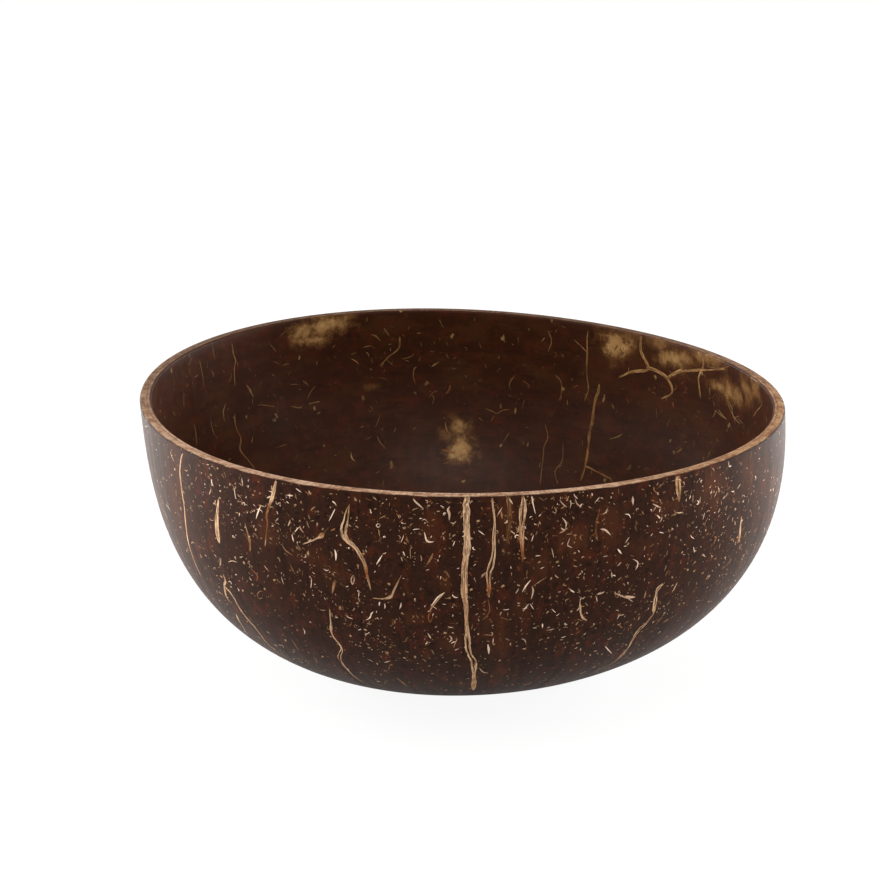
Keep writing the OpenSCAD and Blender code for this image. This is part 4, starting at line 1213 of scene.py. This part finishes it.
def shell_group():
    """Colour of the nut's wall. Outside it is dark brown with red patches and darker lines that run from
    pole to pole, dark pits and pale dots and dust. Inside it is a redder brown with warm and red patches,
    dark streaks that run round and a few dim dots. A fine speckle lies over both."""
    c = colours()
    tree, given, out = group(
        "Shell colour", {"Place": ORIGIN, "Inner": 0.0}, Color="Color", Roughness="Float", Height="Float")
    place = given["Place"]
    streaks = grain(up_nut(place, .1), 480, 4, .65)
    speckle = grain(place, 1700, 4, .75)
    slow = up_nut(place, .6)
    thick = ease(grain(slow, 150, 3, .6), .35, .6, .35, 1.0)
    patches = times(ease(grain(slow, 520, 6, .72), .47, .68), thick)
    outer = layered(
        opaque(c.outer_dark),
        (times(patches, .85), c.outer_red),
        (ease(streaks, .48, .75, 0, .5), c.outer_crack),
        (ease(speckle, .55, .76, 0, .35), c.outer_speckle),
        (ease(speckle, .47, .3, 0, .7), c.outer_crack),
        (spots(place, 620, .36, .5, .55), c.outer_crack),
        (spots(place, 800, .2, .5, (.1, 1, .08, .55)), c.fibre_pale),
        (spots(place, 1500, .22, .4, (.3, 1, 0, .4)), c.fibre_pale))
    warm = ease(grain(stretched(place, 1, 1, 2.2), 110, 5, .62), .46, .66)
    rounds = grain(stretched(place, 1, 1, 6), 120, 4, .7)
    reds = ease(grain(stretched(place, 1, 1, 1.6), 300, 5, .7), .48, .66)
    inner = layered(
        opaque(c.inner_dark),
        (times(warm, .6), c.inner_warm),
        (ease(rounds, .48, .72, 0, .7), c.inner_streak),
        (times(reds, .55), c.inner_red),
        (ease(speckle, .55, .8, 0, .35), c.inner_speckle),
        (ease(grain(place, 420, 5, .7), .55, .75, 0, .5), c.inner_speckle),
        (spots(stretched(place, 1, 1, .6), 420, .17, .3, (0, 1, .1, .45)), c.vein_pale))
    rough = plus(ease(streaks, .3, .7, .32, .4), times(speckle, .06))
    tree.links.new(blend(given["Inner"], outer, inner), out["Color"])
    tree.links.new(rough, out["Roughness"])
    tree.links.new(plus(streaks, times(speckle, .35)), out["Height"])


def fibre_group():
    """Colour and mask of a fibre bundle, from the place across and along it: pale bands along both sides,
    tan stripes between them, thin brown cracks that run along, a dark slit where it opens and amber where
    it thins. The mask fades the bundle into the wall at its ragged sides."""
    c = colours()
    tree, given, out = group(
        "Fibre bundle", {
            "Map": ORIGIN, "Place": ORIGIN, "Slit": 0.0, "Amber": 0.0, "Pale": 1.0, "Wall": (0, 0, 0, 1),
            "Softness": .3, "Light": WHITE, "Body": WHITE, "Cream": 0.0, "Groove": .5},
        Color="Color", Mask="Float", Height="Float")
    across, run, _ = separated(given["Map"])
    seat = stretched(given["Place"], 60, 60, 60)

    def stripes(across_share, run_share, scale, detail):
        laid = combined(times(across, across_share), times(run, run_share))
        return grain(vector("ADD", laid, seat), scale, detail, .6)

    centred = minus(times(across, 2.0), 1.0)
    away = size_of(centred)
    off = size_of(plus(centred, swing(stripes(0.0, .5, 1.3, 2), .5)))
    fine = stripes(3.2, .4, 1.5, 4)
    ragged = grain(given["Place"], 2400, 3, .6)
    nicks = times(ease(stripes(2.0, 1.6, 1.9, 3), .6, .68), .7)
    cracks = larger(ease(stripes(4.0, .3, 1.7, 5), .5, .6), nicks)
    cracks = times(cracks, fall(away, .6, 1))
    cracks = times(cracks, minus(.85, given["Cream"], clamp=True))
    opening = minus(times(given["Slit"], .7), off)
    colour = layered(
        given["Body"],
        (ease(fine, .42, .6), given["Light"]),
        (times(ease(away, .4, .7), .5), given["Light"]),
        (times(given["Amber"], ease(ragged, .2, .5, .7, 1.0)), c.fibre_amber),
        (given["Cream"], c.fleck_cream),
        (cracks, c.fibre_crack),
        (ease(plus(opening, swing(ragged, .25)), -.05, .12), c.fibre_slit))
    side = plus(away, swing(ragged, .4))
    fade = minus(1.0, given["Softness"])
    edge = fall(side, fade, plus(fade, .2))
    groove = times(fall(side, .85, 1.0), given["Groove"])
    worn = ease(stripes(.6, .5, 1.2, 3), .3, .55, .72, 1.0)
    mask = times(edge, times(times(given["Pale"], 1.15), worn), clamp=True)
    wall = layered(given["Wall"], (groove, c.fibre_slit))
    tree.links.new(blend(mask, wall, colour), out["Color"])
    tree.links.new(mask, out["Mask"])
    tree.links.new(minus(fine, times(cracks, .6)), out["Height"])


def patch_group():
    """Mask of a soft patch round a centre: the distance, with each direction by the patch's size and
    broken up by noise, eased from one to nought."""
    tree, given, out = group(
        "Soft patch", {"Place": ORIGIN, "Centre": ORIGIN, "Size": (1, 1, 1), "Noise": .5, "Strength": 1.0},
        Mask="Float")
    offset = vector("DIVIDE", vector("SUBTRACT", given["Place"], given["Centre"]), given["Size"])
    far = put("ShaderNodeVectorMath", {0: offset}, operation="LENGTH").outputs["Value"]
    mask = fall(plus(far, swing(given["Noise"], 2.9)), 0, 1.3)
    tree.links.new(times(mask, given["Strength"]), out["Mask"])


def satin(colour, roughness, gloss, height, bump):
    """The bowl's satin surface: a Principled shader fed with a colour, a roughness, a weak gloss and a
    bump."""
    lines = put("ShaderNodeBump", {"Strength": bump, "Distance": BUMP_DEPTH, "Height": height})
    shader = put("ShaderNodeBsdfPrincipled", {
        "Base Color": colour, "Roughness": roughness, "Normal": lines.outputs[0],
        "Specular IOR Level": gloss})
    put("ShaderNodeOutputMaterial", {0: shader.outputs[0]})


def new_finish(name):
    """An empty material and its tree."""
    finish = bpy.data.materials.new(name)
    finish.use_nodes = True
    finish.node_tree.nodes.clear()
    return finish, finish.node_tree


def patches_mask(place, noise, patches, inside):
    """The strongest of several soft patches' masks at each place of a face."""
    total = 0.0
    for turn, share, wide, high, strength in patches:
        centre = face(inside, np.array([float(turn)]), np.array([share * top_of_faces()]))[0]
        east, north = abs(math.cos(math.radians(turn))), abs(math.sin(math.radians(turn)))
        reach = (north * wide + east * PATCH_DEPTH, east * wide + north * PATCH_DEPTH, high)
        sockets = {0: place, 1: tuple(centre), 2: tuple(v * MM for v in reach), 3: noise, 4: strength}
        total = larger(total, used("Soft patch", sockets)[0])
    return total


def rim_colour(place, across):
    """The sanded rim's colour, its fibres' noise and its mask. It is pale in front, golden at the right
    and brown at the left, and the darker brown at its back is painted shade. It has a dark line and a pale
    band along it, fibres across it, drawn streaks and pores."""
    c = colours()
    round_it = up_nut(place, 1.0)
    waver = plus(across, swing(grain(round_it, 260, 3, .6), .22))
    dark_line = fall(size_of(minus(waver, .62)), .02, .09)
    pale_band = fall(size_of(minus(waver, .8)), .02, .1)
    fibres = grain(stretched(round_it, 1, 1, 0), 2300, 4, .8)
    x, y, _ = separated(place)
    # Painted shade: the rim's colour darkens towards its back
    back = ease(y, *RIM_BACK_SHADE)
    right = times(ease(x, *RIM_RIGHT), minus(1.0, back))
    left = fall(x, *RIM_LEFT)
    over = combined(z=times(across, STREAK_RUN))
    drawn = vector("ADD", stretched(round_it, .3, .3, 0), over)
    colour = layered(
        opaque(c.rim_front),
        (times(right, .85), c.rim_right),
        # Painted shade over the rim's back
        (times(left, .7), c.rim_left),
        (times(back, .9), c.rim_back_shade))
    colour = tinted(
        colour,
        (times(pale_band, .5), BAND_TINT),
        (times(dark_line, .7), LINE_TINT),
        (ease(fibres, .42, .6), FIBRE_TINT),
        (ease(grain(drawn, 1500, 5, .75), .42, .58), STREAK_TINT),
        (spots(place, 1000, .38, .4, .6), PORE_TINT))
    return colour, fibres, times(ease(waver, .06, .14), fall(across, .8, .9))


def foot_colour(place):
    """The sanded foot's colour: pale and dark grain with a few tan fibres."""
    c = colours()
    return layered(
        opaque(c.foot_dark),
        (ease(grain(place, 620, 4, .65), .4, .65), c.foot_pale),
        (ease(grain(place, 1700, 2, .5), .6, .68), c.fibre_tan))


def shell_finish():
    """The wall: its own colour, amber smears outside and pale clouds inside, the sanded rim and the
    sanded foot."""
    c = colours()
    finish, tree = new_finish("Polished coconut shell")
    place = put("ShaderNodeTexCoord", {}, tree).outputs["Object"]
    inner, cut, across, foot = measured(tree, "inner", "cut", "across", "foot")
    wall = used("Shell colour", {0: place, 1: inner})
    lines = grain(up_nut(place, .3), 700, 5, .7)
    smears = times(patches_mask(place, lines, OUTER_SMEARS, False), minus(1.0, inner))
    clouds = times(patches_mask(place, grain(place, 400, 7, .7), INNER_CLOUDS, True), inner)
    mottle = ease(grain(place, 900, 4, .7), .38, .62, .45, 1)
    cloud = layered(opaque(c.cloud_edge), (times(ease(clouds, .3, .95), mottle), c.cloud))
    rim, fibres, on_rim = rim_colour(place, across)
    colour = layered(
        wall["Color"],
        (times(smears, .68), c.outer_smear),
        (clouds, cloud),
        (times(cut, on_rim), rim),
        (foot, foot_colour(place)))
    sawn = larger(cut, foot)
    rough = mixed(sawn, wall["Roughness"], .62)
    raised = mixed(sawn, wall["Height"], times(fibres, 1.4))
    satin(colour, rough, mixed(inner, OUTER_GLOSS, INNER_GLOSS), raised, .25)
    return finish


def fibre_finish(name, inside, softness, groove, light, body, cream=0.0):
    """A bundle of fibres set in the wall: the wall's own colour under the bundle's, faded at its
    sides."""
    finish, tree = new_finish(name)
    place = put("ShaderNodeTexCoord", {}, tree).outputs["Object"]
    wall = used("Shell colour", {0: place, 1: float(inside)})
    slit, amber, pale = measured(tree, "slit", "amber", "pale")
    creamy = times(cream, minus(ease(pale, .7, .95), amber, clamp=True))
    laid = put("ShaderNodeUVMap", {}, tree, uv_map="fibre_map").outputs[0]
    bundle = used("Fibre bundle", {
        "Map": laid, "Place": place, "Slit": slit, "Amber": amber, "Pale": pale, "Wall": wall["Color"],
        "Softness": softness, "Light": opaque(light), "Body": opaque(body), "Cream": creamy,
        "Groove": groove})
    rough = mixed(bundle["Mask"], wall["Roughness"], .5)
    height = mixed(bundle["Mask"], wall["Height"], bundle["Height"])
    satin(bundle["Color"], rough, INNER_GLOSS if inside else OUTER_GLOSS, height, .3)
    return finish


def finish_named(name, *details):
    """The fibre material of a name, made the first time that a piece asks for it."""
    return bpy.data.materials.get(name) or fibre_finish(name, *details)


def outer_finish():
    """The outer face's strands."""
    return finish_named("Pale husk fibre", False, .22, .6, colours().fibre_pale, colours().fibre_tan, .2)


def fleck_finish():
    """The outer face's small flecks, the brightest of them cream."""
    return finish_named("Cream husk fleck", False, .28, .7, colours().fibre_pale, colours().fibre_tan, .9)


def inner_finish():
    """The inner face's softer veins."""
    return finish_named("Inner vein", True, .5, .1, colours().vein_pale, colours().vein_tan)


def rays_seen(tree):
    """Masks of the rays that come from the camera and of those that a mirror or clear glass sends on."""
    seen = put("ShaderNodeLightPath", {}, tree).outputs
    return seen["Is Camera Ray"], larger(seen["Is Glossy Ray"], seen["Is Transmission Ray"])


def floor_finish():
    """The pale floor: a matt surface that the bowl's shadow falls on, under its share of plain white."""
    finish, tree = new_finish("Pale floor")
    own = {"Base Color": FLOOR_COLOUR, "Roughness": .9, "Specular IOR Level": .1}
    matt = put("ShaderNodeBsdfPrincipled", own, tree)
    white = put("ShaderNodeEmission", {0: WHITE, 1: FLOOR_WHITE}, tree)
    camera, mirrored = rays_seen(tree)
    share = larger(times(camera, FLOOR_SEEN), times(mirrored, FLOOR_MIRRORED))
    both = put("ShaderNodeMixShader", {0: share, 1: matt.outputs[0], 2: white.outputs[0]})
    put("ShaderNodeOutputMaterial", {0: both.outputs[0]})
    return finish


# Studio

def lay_floor(scene):
    """The floor, a wide square under the bowl."""
    floor = bpy.data.objects.new("floor", bpy.data.meshes.new("floor"))
    corners = [(x * FLOOR_HALF, y * FLOOR_HALF, 0) for x, y in ((-1, -1), (1, -1), (1, 1), (-1, 1))]
    floor.data.from_pydata(corners, [], [(0, 1, 2, 3)])
    floor.data.materials.append(floor_finish())
    scene.collection.objects.link(floor)


def hang_lamp(scene, name, setting, share, size, place, aim):
    """One area lamp of the table, turned from its place to the point that it faces."""
    light = bpy.data.lights.new(name, "AREA")
    light.energy = getattr(studio(), setting) * share
    light.shape = "RECTANGLE"
    light.size, light.size_y = size
    thing = bpy.data.objects.new(name, light)
    thing.location = place
    ahead = np.array(aim) - place
    lean = math.acos(-ahead[2] / np.linalg.norm(ahead))
    thing.rotation_euler = (lean, 0, math.atan2(-ahead[0], ahead[1]))
    scene.collection.objects.link(thing)


def light_surroundings(scene):
    """White surroundings: plain white for the camera and for mirrored rays, and the fill light's level
    for all others."""
    scene.world = bpy.data.worlds.new("surroundings")
    scene.world.use_nodes = True
    tree = scene.world.node_tree
    tree.nodes.clear()
    camera, mirrored = rays_seen(tree)
    level = mixed(larger(camera, mirrored), studio().sky, 1.0)
    glow = put("ShaderNodeBackground", {0: WHITE, 1: level})
    put("ShaderNodeOutputWorld", {0: glow.outputs[0]})


def place_camera(scene):
    """The camera that was fitted to the photo, shifted instead of turned aside."""
    camera = bpy.data.cameras.new("camera")
    camera.lens, camera.sensor_width = studio().lens, CAMERA_SENSOR
    camera.shift_x, camera.shift_y = CAMERA_SHIFT
    camera.clip_start, camera.clip_end = CLIP
    view = bpy.data.objects.new("camera", camera)
    view.location = camera_place()
    view.rotation_euler = (math.pi / 2 - studio().elevation, 0, 0)
    scene.collection.objects.link(view)
    scene.camera = view


# Operators

class BOWL_OT_finishes(bpy.types.Operator):
    """Build the node groups that the bowl's materials share"""
    bl_idname = "bowl.finishes"
    bl_label = "Shared Finishes"

    def execute(self, context):
        directions_group()
        shell_group()
        fibre_group()
        patch_group()
        return {"FINISHED"}


class BOWL_OT_shell(bpy.types.Operator):
    """Make the polished wall with its rim and its sanded foot"""
    bl_idname = "bowl.shell"
    bl_label = "Polished Wall"

    def execute(self, context):
        shell_mesh(shell_finish())
        return {"FINISHED"}


class BOWL_OT_strands(bpy.types.Operator):
    """Make the pale strands of the outer face"""
    bl_idname = "bowl.strands"
    bl_label = "Outer Strands"

    def execute(self, context):
        bundles(OUTER_STRANDS, False, STRAND_SEED, sizes().strand_width, outer_finish())
        return {"FINISHED"}


class BOWL_OT_veins(bpy.types.Operator):
    """Make the veins of the inner face"""
    bl_idname = "bowl.veins"
    bl_label = "Inner Veins"

    def execute(self, context):
        bundles(INNER_VEINS, True, VEIN_SEED, sizes().vein_width, inner_finish())
        return {"FINISHED"}


class BOWL_OT_fibre_ends(bpy.types.Operator):
    """Make the small fibre ends of both faces, and one painted highlight: a glint drawn as a cream mark
    outside
    """
    bl_idname = "bowl.fibre_ends"
    bl_label = "Small Fibre Ends"

    def execute(self, context):
        rng = np.random.default_rng(MARK_SEED)
        outer = [mark_part(rng, False, mark) for mark in OUTER_MARKS]
        finish_piece(joined("outer_fibre_ends_and_painted_glint", outer), fleck_finish())
        inner = [mark_part(rng, True, mark) for mark in INNER_MARKS]
        finish_piece(joined("inner_fibre_ends", inner), inner_finish())
        return {"FINISHED"}


class BOWL_OT_flecks(bpy.types.Operator):
    """Scatter the small flecks over both faces, one inside to seven outside"""
    bl_idname = "bowl.flecks"
    bl_label = "Flecks"

    def execute(self, context):
        count = sizes().flecks
        fleck_mesh(
            "outer_flecks", False, count, OUTER_FLECK_SEED, fleck_finish(),
            reach=(.05, .99), length=.6 * MM, width=.175 * MM, paleness=1.0)
        fleck_mesh(
            "inner_flecks", True, count // OUTER_TO_INNER, INNER_FLECK_SEED, inner_finish(),
            reach=(.15, .98), length=1.1 * MM, width=.42 * MM, paleness=.44)
        return {"FINISHED"}


class BOWL_OT_stage(bpy.types.Operator):
    """Set up the pale floor, the soft lamps, the white surroundings and the camera"""
    bl_idname = "bowl.stage"
    bl_label = "Studio"

    def execute(self, context):
        context.scene.view_settings.view_transform = "Standard"
        lay_floor(context.scene)
        for lamp in LAMPS:
            hang_lamp(context.scene, *lamp)
        light_surroundings(context.scene)
        place_camera(context.scene)
        return {"FINISHED"}


class BOWL_PT_panel(bpy.types.Panel):
    """Sizes, colours and pieces of the bowl"""
    bl_idname = "BOWL_PT_panel"
    bl_label = "Coconut Shell Bowl"
    bl_space_type = "VIEW_3D"
    bl_region_type = "UI"
    bl_category = "Bowl"

    def draw(self, context):
        for title, name, _ in GROUPS:
            box = self.layout.box()
            box.label(text=title)
            values = getattr(context.scene, name)
            for key in type(values).__annotations__:
                box.prop(values, key)
        for step in STEPS:
            self.layout.operator(step.bl_idname)


STEPS = [
    BOWL_OT_finishes, BOWL_OT_stage, BOWL_OT_shell, BOWL_OT_strands, BOWL_OT_veins, BOWL_OT_fibre_ends,
    BOWL_OT_flecks,
]
GROUPS = [
    ("Sizes", "bowl_sizes", BowlSizes), ("Colours", "bowl_colours", BowlColours),
    ("Studio", "bowl_studio", StudioSettings),
]


def register():
    """Adds the bowl's classes and its groups of values."""
    for _, name, kind in GROUPS:
        bpy.utils.register_class(kind)
        setattr(bpy.types.Scene, name, bpy.props.PointerProperty(type=kind))
    for kind in [*STEPS, BOWL_PT_panel]:
        bpy.utils.register_class(kind)


def unregister():
    """Takes the bowl's classes and its groups of values away."""
    for kind in [BOWL_PT_panel, *reversed(STEPS)]:
        bpy.utils.unregister_class(kind)
    for _, name, kind in reversed(GROUPS):
        delattr(bpy.types.Scene, name)
        bpy.utils.unregister_class(kind)


def main():
    """Makes the bowl piece by piece: registers the panel and runs each step in turn."""
    register()
    for step in STEPS:
        area, name = step.bl_idname.split(".")
        getattr(getattr(bpy.ops, area), name)()
    bpy.context.view_layer.update()


if __name__ == "__main__":
    main()
